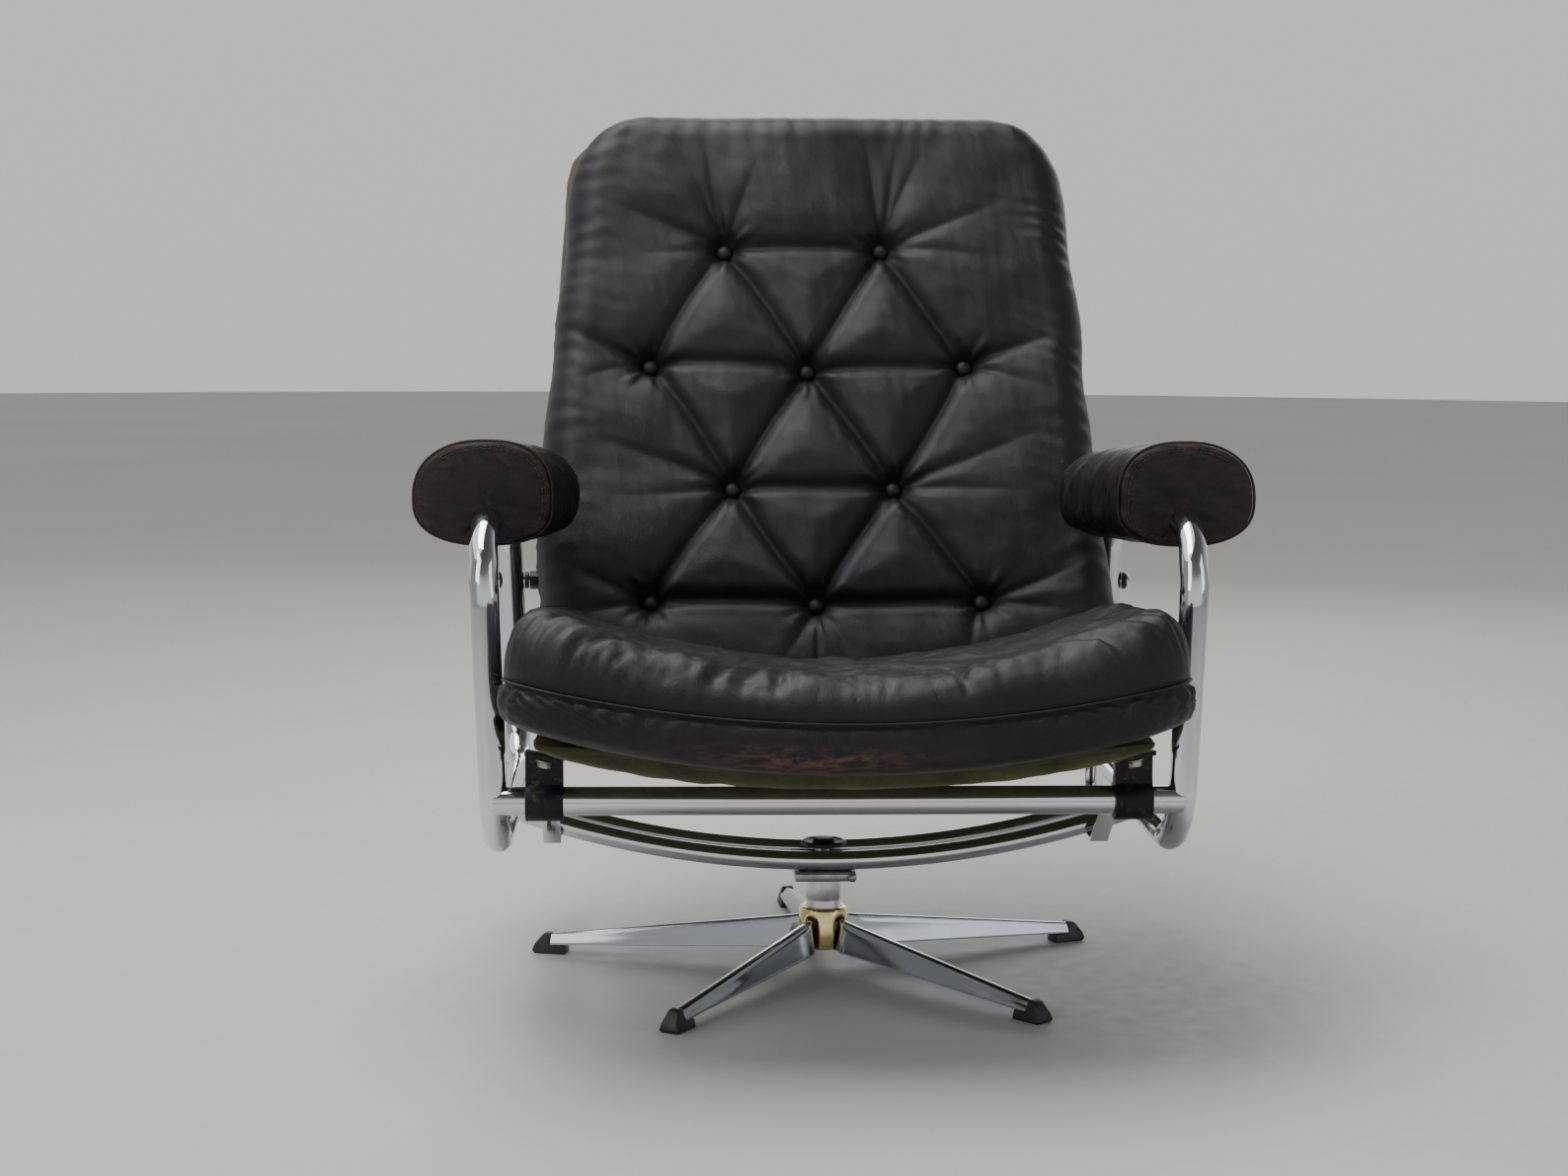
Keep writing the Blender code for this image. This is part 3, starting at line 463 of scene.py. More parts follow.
def add_camera():
    yaw, pitch, roll = math.radians(2.7), math.radians(6.30), math.radians(0.33)
    front = Vector((math.sin(yaw) * math.cos(pitch), math.cos(yaw) * math.cos(pitch), -math.sin(pitch)))
    flat = Vector((math.cos(yaw), -math.sin(yaw), 0.0))
    up = flat.cross(front)
    right = flat * math.cos(roll) + up * math.sin(roll)
    up = up * math.cos(roll) - flat * math.sin(roll)
    data = bpy.data.cameras.new("camera")
    data.sensor_width = 36.0
    data.lens = 65.74
    cam = bpy.data.objects.new("camera", data)
    bpy.context.scene.collection.objects.link(cam)
    place = Vector((-0.1765, -2.858 + COL_Y, 0.704))
    for row in range(3):
        cam.matrix_world[row][0] = right[row]
        cam.matrix_world[row][1] = up[row]
        cam.matrix_world[row][2] = -front[row]
        cam.matrix_world[row][3] = place[row]
    bpy.context.scene.camera = cam


# ---------------------------------------------------------------- metal

def loop_x(z):
    return LOOP_X + LOOP_LEAN * (z - LOOP_XZ)


def loop_path(side, steps=22):
    y0, y1 = LOOP_Y
    z0, z1 = LOOP_Z
    corners = ((y0, z1, BEND_FRONT_TOP, 90.0, 1.0, -1.0), (y0, z0, BEND_REST, 180.0, 1.0, 1.0),
               (y1, z0, BEND_REST, 270.0, -1.0, 1.0), (y1, z1, BEND_REAR_TOP, 0.0, -1.0, -1.0))
    points = []
    for y, z, r, start, sy, sz in corners:
        for k in range(steps):
            a = math.radians(start + 90.0 * k / (steps - 1.0))
            py = y + sy * r + r * math.cos(a)
            pz = z + sz * r + r * math.sin(a)
            pz -= ARM_SLOPE * (py - y0) * (pz - z0) / (z1 - z0)
            ripple = 0.00035 * math.sin(math.radians(start + 90.0 * k / (steps - 1.0)) * 14.0)
            points.append((side * (loop_x(pz) + ripple), py, pz))
    return points


def rail_path(y):
    reach = loop_x(LOOP_Z[0])
    points = []
    for k in range(49):
        x = reach * (k - 24) / 24.0
        points.append((x, y, RAIL_Z + RAIL_BOW - math.sqrt(RAIL_BOW ** 2 - x ** 2)))
    return points


def refine(node, mat, body, angle=32.0, width=0.0, segments=2, smooth_levels=0, name=None):
    """Finished copy of a CAD node: welded, softly bevelled and smooth-shaded."""
    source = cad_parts[node]
    mesh = source.data.copy()
    mesh.transform(source.matrix_world)
    bm = bmesh.new()
    bm.from_mesh(mesh)
    bmesh.ops.remove_doubles(bm, verts=bm.verts, dist=0.00002)
    bmesh.ops.dissolve_limit(bm, angle_limit=math.radians(0.6), verts=bm.verts, edges=bm.edges)
    bm.to_mesh(mesh)
    bm.free()
    obj = bpy.data.objects.new(name or "fine_" + node, mesh)
    bpy.context.scene.collection.objects.link(obj)
    if width:
        bevel(obj, width, segments, angle)
    if smooth_levels:
        sub = obj.modifiers.new("sub", "SUBSURF")
        sub.levels = sub.render_levels = smooth_levels
    if width or smooth_levels:
        bake_modifiers(obj)
    for poly in obj.data.polygons:
        poly.use_smooth = True
    obj.data.set_sharp_from_angle(angle=math.radians(angle))
    obj.data.materials.clear()
    obj.data.materials.append(mat)
    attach(obj, body)
    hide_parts(node)
    return obj


def make_tubes():
    for side, tag in ((-1.0, "L"), (1.0, "R")):
        make("tube_frame_" + tag, *sweep(loop_path(side), TUBE_R, 40, cyclic=True), MATS["chrome"], "frame",
             stand_for=("side_frame_" + tag,))
    reach = loop_x(BAR_Z)
    spots = [(-reach + 2.0 * reach * k / 40.0, BAR_Y, BAR_Z) for k in range(41)]
    make("front_bar", *sweep(spots, TUBE_R, 40), MATS["chrome"], "frame", 40.0, stand_for=("crossbar",))
    for node, y in (("rail_front", COL_Y - RAIL_Y), ("rail_rear", COL_Y + RAIL_Y)):
        make("bowed_" + node, *sweep(rail_path(y), RAIL_R, 32), MATS["chrome"], "frame", 40.0,
             stand_for=(node,))


def make_legs():
    for k in range(5):
        a = math.radians(22.4 + 72.0 * k)
        out = np.array((math.cos(a), math.sin(a), 0.0))
        across = np.array((-math.sin(a), math.cos(a), 0.0))
        verts = []
        steps = 42
        for i in range(steps):
            start, end = LEG_REACH
            r = start + (end - start) * (i / (steps - 1.0)) ** 1.3
            t = np.interp(r, (start, 0.03, 0.06, 0.16, end), (0.0, 0.05, 0.16, 0.53, 1.0))
            z0 = 0.0220 + (0.0092 - 0.0220) * t
            z1 = 0.0545 + (0.0200 - 0.0545) * t
            near = smooth((r - 0.026) / 0.012)
            foot = 0.0066 + (0.0049 - 0.0030 * t) * near
            ridge = 0.0034 + 0.0016 * near
            half = [(foot, z0), (foot, z0 + 0.0012), (foot - 0.0004, z0 + 0.0024)]
            for q in range(1, 5):
                f = q / 5.0
                half.append((foot + (ridge - foot) * f ** 0.85, z0 + 0.0024 + (z1 - z0 - 0.0056) * f))
            for q in range(6):
                b = math.radians(15.0 * (q + 1))
                half.append((ridge * math.cos(b) ** 0.8, z1 - 0.0032 + 0.0032 * math.sin(b)))
            ring = half + [(-x, z) for x, z in reversed(half[:-1])]
            for x, z in ring:
                verts.append(np.array((0.0, COL_Y, z)) + out * r + across * x)
        faces = capped(steps, len(verts) // steps)
        make("star_leg_%d" % (k + 1), verts, faces, MATS["leg_chrome"], "base", 42.0,
             stand_for=("leg_%d" % (k + 1),))
        refine("foot_%d" % (k + 1), MATS["plastic"], "base", 30.0, 0.0012, 3)


def make_hardware():
    refine("hub_cover", MATS["brass"], "base", 40.0, 0.0005)
    profile = [(0.0147, 0.0230), (0.0175, 0.0230), (0.0175, 0.0700), (0.01735, 0.0703), (0.01735, 0.0709),
               (0.0175, 0.0712), (0.0175, 0.0945), (0.0169, 0.0955), (0.0147, 0.0955)]
    make("pedestal_column", *lathe(profile, 72, (0.0, COL_Y, 0.0), closed=True), MATS["steel"], "base", 38.0,
         stand_for=("column",))
    refine("spindle", MATS["steel"], "frame", 40.0)
    refine("spindle_stud", MATS["zinc"], "frame", 40.0)
    refine("spindle_nut", MATS["black_steel"], "frame", 30.0, 0.0004)
    refine("swivel_plate", MATS["zinc"], "frame", 30.0)
    refine("plate_bolt", MATS["zinc"], "frame", 40.0)
    top = RAIL_Z + RAIL_R + 0.0003
    rim = [(0.0118, top + 0.0004), (0.0226, top + 0.0004), (0.0230, top + 0.0010), (0.0230, top + 0.0030),
           (0.0222, top + 0.0046), (0.0205, top + 0.0052), (0.0190, top + 0.0049), (0.0180, top + 0.0040),
           (0.0150, top + 0.0040), (0.0118, top + 0.0030)]
    make("scalloped_rosette", *lathe(rim, 128, (0.0, COL_Y, 0.0), closed=True,
                                     wobble=lambda a: 1.0 + 0.022 * math.cos(8.0 * a)),
         MATS["plastic"], "frame", 50.0, stand_for=("rosette",))
    for tag in ("L", "R"):
        refine("strap_" + tag, MATS["chrome"], "frame", 30.0, 0.0007)
        refine("pad_clip_" + tag, MATS["zinc"], "frame", 30.0, 0.0009, 3)
        refine("side_bolt_" + tag, MATS["chrome"], "frame", 44.0)
        refine("washer_out_" + tag, MATS["plastic"], "frame", 40.0)
        refine("washer_in_" + tag, MATS["plastic"], "frame", 40.0)
        refine("side_nut_" + tag, MATS["black_steel"], "frame", 30.0, 0.0003)
        refine("hanger_" + tag, MATS["black_steel"], "seat_unit", 30.0, 0.0006)
        refine("hanger_bolt_" + tag, MATS["zinc"], "seat_unit", 35.0, 0.0004)
        refine("hanger_washer_" + tag, MATS["zinc"], "seat_unit", 35.0, 0.0003)
        refine("slot_plate_" + tag, MATS["black_steel"], "seat_unit", 30.0, 0.0005)
    beads = []
    plate_lo, plate_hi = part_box("swivel_plate")
    for side in (-1.0, 1.0):
        y = COL_Y + side * (RAIL_Y + 0.001)
        path = [(plate_lo.x + 0.004 + 0.0035 * k, y + 0.0007 * math.sin(2.1 * k),
                 plate_hi.z + 0.0008) for k in range(16)]
        radii = [0.0021 + 0.0006 * math.sin(1.9 * k + side) for k in range(16)]
        beads.append(sweep(path, np.array(radii), 12))
    make("weld_beads", *merge(*beads), MATS["black_steel"], "frame", link_slot="swivel_plate")


# ---------------------------------------------------------------- back cushion

BUTTONS = [(-0.176, 0.001), (-0.001, -0.002), (0.175, 0.001), (-0.088, 0.128), (0.084, 0.128),
           (-0.176, 0.269), (-0.006, 0.264), (0.165, 0.270), (-0.095, 0.406), (0.077, 0.408)]
# pairs of buttons joined by a fold, with the fold's strength midway
FOLDS = [(0, 1, 0.80), (1, 2, 0.80), (3, 4, 0.50), (5, 6, 0.46), (6, 7, 0.46), (8, 9, 0.48),
         (0, 3, 0.62), (3, 1, 0.74), (1, 4, 0.74), (4, 2, 0.66), (3, 5, 0.64), (3, 6, 0.72),
         (4, 6, 0.74), (4, 7, 0.70), (5, 8, 0.60), (6, 8, 0.70), (6, 9, 0.66), (7, 9, 0.70)]
# folds that run out from a button: button, dx, ds, strength
RAYS = [(8, -0.055, 0.125, 0.50), (8, -0.022, 0.140, 0.55), (8, 0.040, 0.110, 0.30),
        (8, -0.150, 0.055, 0.42), (8, -0.110, -0.010, 0.24), (9, -0.018, 0.140, 0.55),
        (9, 0.020, 0.130, 0.52), (9, 0.052, 0.120, 0.42), (9, 0.150, 0.060, 0.36),
        (9, 0.150, -0.020, 0.24), (5, -0.100, 0.042, 0.66), (5, -0.095, -0.030, 0.30),
        (7, 0.118, 0.034, 0.72), (7, 0.110, -0.040, 0.30), (3, -0.180, 0.060, 0.34),
        (3, -0.150, -0.018, 0.22), (4, 0.190, 0.075, 0.34), (4, 0.180, -0.010, 0.28),
        (0, -0.105, 0.045, 0.60), (2, 0.120, 0.045, 0.60), (0, -0.100, -0.020, 0.50),
        (2, 0.115, -0.020, 0.50), (0, 0.020, -0.075, 0.35), (1, -0.045, -0.075, 0.35),
        (1, 0.050, -0.075, 0.35), (2, -0.020, -0.075, 0.35)]


def back_half(s):
    """Half width of the back cushion at height s, with round corners and a slightly scalloped edge."""
    below = 0.3075 - 0.0170 * np.maximum(0.0, s) / 0.30
    above = 0.2905 - 0.0150 * (s - 0.30) / 0.18
    width = np.where(s < 0.30, below, above)
    top = np.clip((s - (BACK_S[1] - BACK_CORNER)) / BACK_CORNER, 0.0, 1.0)
    low = np.clip((BACK_S[0] + 0.035 - s) / 0.035, 0.0, 1.0)
    scallop = 0.0016 * np.cos(2.0 * math.pi * (s - 0.20) / 0.1362)
    width = width + scallop - BACK_CORNER * (1.0 - np.sqrt(1.0 - top ** 2))
    return width - 0.030 * (1.0 - np.sqrt(1.0 - low ** 2))


def back_shift(s):
    """The cushion sits a little to the right of the frame, most of all at the bottom."""
    return 0.0065 + 0.0030 * smooth((s - 0.24) / 0.08) + 0.0080 * smooth((0.10 - s) / 0.12)


def fold_depth(x, s):
    """Broad hollow, sharp crease and raised flutes of all folds, each from 0 to about 1."""
    total = np.zeros_like(x)
    sharp = np.zeros_like(x)
    flute = np.zeros_like(x)
    lines = []
    for a, b, mid in FOLDS:
        lines.append((BUTTONS[a], BUTTONS[b], mid, False))
    for a, dx, ds, mid in RAYS:
        lines.append((BUTTONS[a], (BUTTONS[a][0] + dx, BUTTONS[a][1] + ds), mid, True))
    for number, (p, q, mid, free) in enumerate(lines):
        dx, ds = q[0] - p[0], q[1] - p[1]
        length = math.hypot(dx, ds)
        t = ((x - p[0]) * dx + (s - p[1]) * ds) / length ** 2
        off = ((x - p[0]) * ds - (s - p[1]) * dx) / length
        off = off + 0.0035 * np.sin(math.pi * np.clip(t, 0, 1)) * math.sin(2.3 * number + 1.0)
        beyond = np.maximum(0.0, np.maximum(-t, t - 1.0)) * length
        d = np.sqrt(off ** 2 + beyond ** 2)
        tt = np.clip(t, 0.0, 1.0)
        if free:
            strength = mid * (1.0 - smooth(tt)) ** 0.8 + (1.0 - mid) * np.exp(-tt / 0.16)
        else:
            strength = mid + (1.0 - mid) * (np.exp(-tt / 0.17) + np.exp(-(1.0 - tt) / 0.17))
        total += (strength * np.exp(-(d / 0.027) ** 1.5)) ** 5
        sharp += (strength * np.exp(-(d / 0.0052) ** 1.1)) ** 4
        within = strength ** 2 * np.exp(-(beyond / 0.008) ** 2)
        flute = flute + within * np.exp(-((off - 0.0125) / 0.0055) ** 2)
        flute = flute + 0.7 * within * np.exp(-((off + 0.0135) / 0.0060) ** 2)
    return np.clip(total, 0, 1.4) ** 0.2, np.clip(sharp, 0, 1.3) ** 0.25, np.clip(flute, 0, 1.2)


def face_height(x, s, half):
    """Rise of the leather above button level, over the whole front."""
    broad, sharp, flute = fold_depth(x, s)
    n = PUFF * (1.15 - 0.72 * broad) - 0.0095 * sharp + 0.0020 * flute
    for number, (bx, bs) in enumerate(BUTTONS):
        r = np.hypot(x - bx, s - bs) + 1e-6
        ang = np.arctan2(s - bs, x - bx)
        n -= 0.0125 * np.exp(-(r / 0.0165) ** 2)
        pleat = np.cos(9.0 * ang + 1.7 * number) + 0.6 * np.cos(14.0 * ang + 2.9 * number)
        n += 0.0013 * pleat * np.exp(-((r - 0.019) / 0.015) ** 2)
    edge = half - np.abs(x)
    gather = np.sin(2.0 * math.pi * s / GATHER + 2.2 * waves(x, s, 3, 0.12))
    gather = gather * (0.6 + 0.4 * waves(x, s, 5, 0.09))
    n += 0.0017 * gather * np.exp(-np.maximum(edge - 0.012, 0.0) / 0.024)
    up = BACK_S[1] - s
    comb = np.sin(2.0 * math.pi * x / 0.027 + 2.0 * waves(x, s, 8, 0.15))
    n += 0.0008 * comb * np.exp(-up / 0.035)
    n += 0.0004 * waves(x, s, 12, 0.060) + 0.00016 * waves(x, s, 14, 0.018)
    n += 0.0015 * waves(x, s, 16, 0.16)
    under = np.clip((0.010 - s) / 0.09, 0.0, 1.0)
    n -= 0.012 * under ** 1.3
    seam = np.exp(-((x + 0.001) / 0.0022) ** 2) * smooth((-0.004 - s) / 0.006)
    n -= 0.0032 * seam
    return n


def back_xyz(x, s, n):
    y = BACK_FOOT[0] + s * math.sin(BACK_LEAN) - n * math.cos(BACK_LEAN)
    z = BACK_FOOT[1] + s * math.cos(BACK_LEAN) + n * math.sin(BACK_LEAN)
    return np.stack((x, y, z), axis=-1)


def make_back():
    rows = 236
    t = np.linspace(0.0, 1.0, rows)
    s_line = BACK_S[0] + (BACK_S[1] - BACK_S[0]) * (0.90 * t + 0.10 * (0.5 - 0.5 * np.cos(math.pi * t)))
    ends = (BACK_S[0] + np.array((0.0, 0.0008, 0.0020)), BACK_S[1] - np.array((0.0018, 0.0006, 0.0)))
    s_line = np.sort(np.concatenate((ends[0], s_line[1:-1], ends[1])))
    columns = 226
    u = np.linspace(-1.0, 1.0, columns)
    rings = []
    for s in s_line:
        half = float(back_half(s))
        end = min(s - BACK_S[0], BACK_S[1] - s)
        swell = max(0.10, (1.0 - max(0.0, 1.0 - end / 0.043) ** 2.3) ** (1.0 / 2.3))
        shift = float(back_shift(s))
        theta = np.clip((np.abs(u) - 0.86) / 0.14, 0.0, 1.0) * 0.5 * math.pi
        flat = np.minimum(np.abs(u) / 0.86, 1.0) * (half - BACK_EDGE)
        x = np.sign(u) * (flat + BACK_EDGE * np.sin(theta))
        lift = face_height(x + shift, np.full_like(x, s), half)
        n = WIDE_N + (lift - WIDE_N) * np.cos(theta) ** 0.85
        flank_t = np.linspace(0.0, 1.0, 14)[1:]
        fx = half - 0.030 * flank_t ** 1.6
        pull = 0.0012 * np.sin(2.0 * math.pi * s / GATHER + 4.0 * flank_t) * (1.0 - flank_t)
        fn = WIDE_N - (BACK_T + WIDE_N) * flank_t
        rear = np.linspace(1.0, -1.0, 12)[1:-1] * (half - 0.030)
        fade = shift * (1.0 - flank_t)
        xs = np.concatenate((x + shift, fx + pull + fade, rear, (fade - fx - pull)[::-1]))
        ns = np.concatenate((n, fn, np.full_like(rear, -BACK_T), fn[::-1]))
        ns = -BACK_T * 0.5 + (ns + BACK_T * 0.5) * swell
        rings.append(back_xyz(xs, np.full_like(xs, s), ns))
    faces = capped(len(rings), len(rings[0]))
    obj = make("tufted_back", np.concatenate(rings), faces, MATS["leather"], "seat_unit",
               stand_for=("back_cushion",))
    co = coords(obj)
    dy = co[:, 1] - BACK_FOOT[0]
    dz = co[:, 2] - BACK_FOOT[1]
    up = dy * math.sin(BACK_LEAN) + dz * math.cos(BACK_LEAN)
    depth = dz * math.sin(BACK_LEAN) - dy * math.cos(BACK_LEAN)
    # painted shade for the leather's fold attribute: strongest along the sharp creases and in the hollows
    # round the buttons, on the front face only
    sharp = fold_depth(co[:, 0], up)[1]
    hollow = sum(np.exp(-(np.hypot(co[:, 0] - b[0], up - b[1]) / 0.016) ** 2) for b in BUTTONS)
    shade = np.clip(0.75 * sharp ** 1.3 + 0.55 * hollow, 0.0, 1.0) * smooth((depth + 0.030) / 0.02)
    attribute(obj, "fold", shade)
    for number, (bx, bs) in enumerate(BUTTONS):
        make_button(number + 1, bx, bs)


def make_button(number, bx, bs):
    verts = []
    sides = 48
    profile = [(1.0, -0.006), (1.02, -0.002), (1.0, 0.0008), (0.93, 0.0028), (0.80, 0.0044), (0.60, 0.0057),
               (0.36, 0.0065), (0.15, 0.0068)]
    base = face_bottom(bx, bs)
    for r, h in profile:
        for k in range(sides):
            a = 2.0 * math.pi * k / sides
            crimp = 1.0 + 0.018 * math.cos(11.0 * a + number) * (1.0 if r > 0.9 else 0.0)
            reach = BUTTON_R * r * crimp
            verts.append(back_xyz(bx + reach * math.cos(a), bs + reach * math.sin(a), base + h))
    faces = capped(len(profile), sides)
    nearest = min(range(1, 11), key=lambda k: button_distance(k, bx, bs))
    make("covered_button_%02d" % number, verts, faces, MATS["leather"], "seat_unit", 60.0,
         stand_for=("button_%02d" % nearest,))


def button_distance(k, bx, bs):
    lo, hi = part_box("button_%02d" % k)
    p = back_xyz(bx, bs, 0.0)
    return (Vector(p) - 0.5 * (lo + hi)).length


def face_bottom(bx, bs):
    """Mean height of the leather just round a button."""
    half = float(back_half(bs))
    ring = np.linspace(0.0, 2.0 * math.pi, 13)
    return float(np.mean(face_height(bx + 0.009 * np.cos(ring), bs + 0.009 * np.sin(ring), half)))


# ---------------------------------------------------------------- seat cushion

def shell_z(x, y):
    """Underside of the seat shell; y from the pedestal axis."""
    lip = np.clip((-0.265 - y) / 0.065, 0.0, 1.0)
    curl = SEAT_LIP * lip * lip * (1.0 - (x / SHELL_HALF) ** 2)
    return SEAT_Z + SEAT_DISH * x * x - SEAT_SLOPE * (y - SHELL_Y0) - curl


def seat_plan(bx, by, hx, hy, r):
    """Point of a rectangle's edge moved on to the rounded outline."""
    cx, cy = hx - r, hy - r
    if abs(bx) > cx and abs(by) > cy:
        dx, dy = abs(bx) - cx, abs(by) - cy
        d = math.hypot(dx, dy)
        return (math.copysign(cx + r * dx / d, bx), math.copysign(cy + r * dy / d, by))
    return (bx, by)


def seat_outline(per_side):
    """Closed plan outline of the seat with its outward directions; y from the pedestal axis."""
    deep = 0.5 * (SEAT_Y[1] - SEAT_Y[0])
    wide = SEAT_HALF
    points = []
    for side_index in range(4):
        for k in range(per_side):
            f = -1.0 + 2.0 * k / per_side
            raw = ((f * wide, -deep), (wide, f * deep), (-f * wide, deep), (-wide, -f * deep))[side_index]
            points.append(seat_plan(raw[0], raw[1], wide, deep, SEAT_CORNER))
    edge = np.array(points)
    edge[:, 1] += 0.030 * (edge[:, 0] / wide) ** 2 * np.clip(-edge[:, 1] / deep, 0.0, 1.0)
    along = np.roll(edge, -1, axis=0) - np.roll(edge, 1, axis=0)
    out = np.stack((along[:, 1], -along[:, 0]), axis=1)
    out /= np.linalg.norm(out, axis=1)[:, None]
    return edge, out


def seat_top(x, y):
    crown = 0.089 - 0.010 * np.maximum(0.0, (y + 0.10) / 0.16)
    return shell_z(x, y) + SHELL_T + crown + 0.36 * x * x


def seat_seam(x, y):
    return shell_z(x, y) + SHELL_T + SEAM_RISE - 0.06 * x * x


# creases of the seat: x, y, direction, half length and depth
SEAT_CREASES = ((-0.115, -0.385, 1.15, 0.030, 0.0040), (-0.090, -0.375, 1.3, 0.034, 0.0036),
                (-0.064, -0.385, 1.45, 0.028, 0.0030), (0.095, -0.385, 1.75, 0.030, 0.0040),
                (0.122, -0.380, 1.95, 0.026, 0.0026), (-0.210, -0.370, 0.6, 0.045, 0.0024),
                (0.215, -0.372, 2.5, 0.045, 0.0024), (-0.255, -0.350, 0.9, 0.035, 0.0022),
                (0.250, -0.352, 2.3, 0.035, 0.0022), (-0.030, -0.250, 0.1, 0.09, 0.0016),
                (0.060, -0.170, 3.0, 0.08, 0.0016))


def seat_wrinkle(x, y):
    rise = 0.0020 * waves(x, y, 21, 0.10) + 0.0010 * waves(x, y, 22, 0.040)
    rise = rise + 0.0004 * waves(x, y, 23, 0.014)
    for cx, cy, ang, long, amp in SEAT_CREASES:
        dx, dy = x - cx, y - cy
        along = dx * math.cos(ang) + dy * math.sin(ang)
        off = -dx * math.sin(ang) + dy * math.cos(ang)
        reach = np.exp(-(along / long) ** 2)
        rise -= 1.5 * amp * np.exp(-(off / 0.0050) ** 2) * reach
        rise += 0.6 * amp * np.exp(-((off - 0.010) / 0.007) ** 2) * reach
    comb = np.sin(2.0 * math.pi * x / 0.021 + 2.6 * waves(x, y, 25, 0.07))
    comb = comb * (0.5 + 0.5 * waves(x, y, 26, 0.06))
    return rise + 0.0009 * comb * np.exp(-((y + 0.385) / 0.030) ** 2)


def seat_top_ring(edge, out, arc, scale):
    """One ring of the top, the outline shrunk by scale about its middle."""
    mid_y = 0.5 * (SEAT_Y[0] + SEAT_Y[1])
    fall = seat_top(edge[:, 0], edge[:, 1] + mid_y) - seat_seam(edge[:, 0], edge[:, 1] + mid_y)
    x = edge[:, 0] * scale
    y = edge[:, 1] * scale
    far = np.hypot(edge[:, 0] - x, edge[:, 1] - y)
    square = np.abs(((edge - np.stack((x, y), 1)) * out).sum(1)) / np.maximum(1e-9, far)
    gap = far * np.clip(square, 0.2, 1.0)
    bend = 1.0 - np.sqrt(np.clip(1.0 - (1.0 - gap / SEAT_ROLL) ** 2, 0.0, 1.0))
    drop = np.where(gap < SEAT_ROLL, fall * bend, 0.0)
    y = y + mid_y
    z = seat_top(x, y) - drop + seat_wrinkle(x, y) * np.clip(gap / 0.012, 0.0, 1.0)
    pinch = np.exp(-gap / 0.026) * np.clip(gap / 0.004, 0.0, 1.0)
    gather = np.sin(2.0 * math.pi * arc / 0.0145 + 2.4 * waves(x, y, 31, 0.07))
    z = z + 0.0020 * gather * pinch * (0.20 + smooth((np.abs(x) - 0.17) / 0.08))
    return np.stack((x, y + COL_Y, z), axis=1)


def seat_band(edge, out, arc):
    """Rings of the seat's side band, from the seam down to the shell."""
    mid_y = 0.5 * (SEAT_Y[0] + SEAT_Y[1])
    seam = seat_seam(edge[:, 0], edge[:, 1] + mid_y)
    floor = shell_z(edge[:, 0] * 0.97, edge[:, 1] + mid_y) + SHELL_T + 0.0012
    side_part = smooth((np.abs(edge[:, 0]) - 0.12) / 0.12)
    lip = 0.0046
    rings = []

    def add(off, z):
        rings.append(np.stack((edge[:, 0] + out[:, 0] * off,
                               edge[:, 1] + mid_y + COL_Y + out[:, 1] * off, z), 1))

    for off, dz in ((-0.0012, -0.0010), (-0.0018, -0.0024), (-0.0008, -lip)):
        add(off, seam + dz)
    for k in range(1, 19):
        f = k / 19.0
        bulge = 0.0046 * math.sin(math.pi * min(1.0, f * 1.25)) ** 0.8 if f < 0.8 else 0.0
        tuck = -0.018 * (max(0.0, f - 0.72) / 0.28) ** 2
        z = seam - lip - (seam - floor - lip) * f
        wave = np.sin(2.0 * math.pi * arc / 0.020 + 3.0 * f + 1.8 * waves(arc, arc * 0.0 + f, 41, 0.10))
        off = bulge + tuck + (0.0004 + 0.0022 * side_part) * wave * math.exp(-f * 2.6)
        add(off + 0.0009 * waves(edge[:, 0], z, 43, 0.05), z)
    return rings


def make_seat():
    edge, out = seat_outline(150)
    mid_y = 0.5 * (SEAT_Y[0] + SEAT_Y[1])
    arc = np.concatenate(([0.0], np.cumsum(np.linalg.norm(np.diff(edge, axis=0), axis=1))))
    scales = (1.0 - np.linspace(0.0, 1.0, 74) ** 1.35)[:-1]
    rings = [seat_top_ring(edge, out, arc, scale) for scale in scales[::-1]]
    rings += seat_band(edge, out, arc)
    for scale in (0.86, 0.6, 0.3):
        x = edge[:, 0] * scale
        y = edge[:, 1] * scale + mid_y
        rings.append(np.stack((x, y + COL_Y, shell_z(x, y) + SHELL_T + 0.0010), 1))
    obj = make("seat_pad", np.concatenate(rings), capped(len(rings), len(edge)), MATS["leather"], "seat_unit",
               stand_for=("seat_cushion",))
    co = coords(obj)
    seam_z = 0.3120 + 0.37 * co[:, 0] ** 2
    front = smooth((-0.385 - (co[:, 1] - COL_Y)) / 0.02)
    low = smooth((seam_z - 0.010 - co[:, 2]) / 0.018)
    centre = np.exp(-((co[:, 0] + 0.040) / 0.085) ** 2)
    attribute(obj, "wear", front * low * centre)
    # painted highlight: a thin lighter line along the seam at the front of the seat
    attribute(obj, "ridge_highlight", 0.5 * np.exp(-((co[:, 2] - seam_z) / 0.0025) ** 2) * front)
    proud = 0.0006
    piping = np.stack((edge[:, 0] + out[:, 0] * proud, edge[:, 1] + mid_y + COL_Y + out[:, 1] * proud,
                       seat_seam(edge[:, 0], edge[:, 1] + mid_y) - 0.0008), 1)
    pipe = make("seat_piping", *sweep(piping, 0.0013, 8, cyclic=True), MATS["leather"], "seat_unit",
                link_slot="seat_cushion")
    # painted highlight: the whole seat piping is a little lighter
    attribute(pipe, "ridge_highlight", np.full(len(pipe.data.vertices), 0.55))


# ---------------------------------------------------------------- arm pads

PAD_SIDES = 132
PAD_DOME = 0.0050         # bulge of the front cap
ANGLES = 2.0 * math.pi * np.arange(PAD_SIDES) / PAD_SIDES


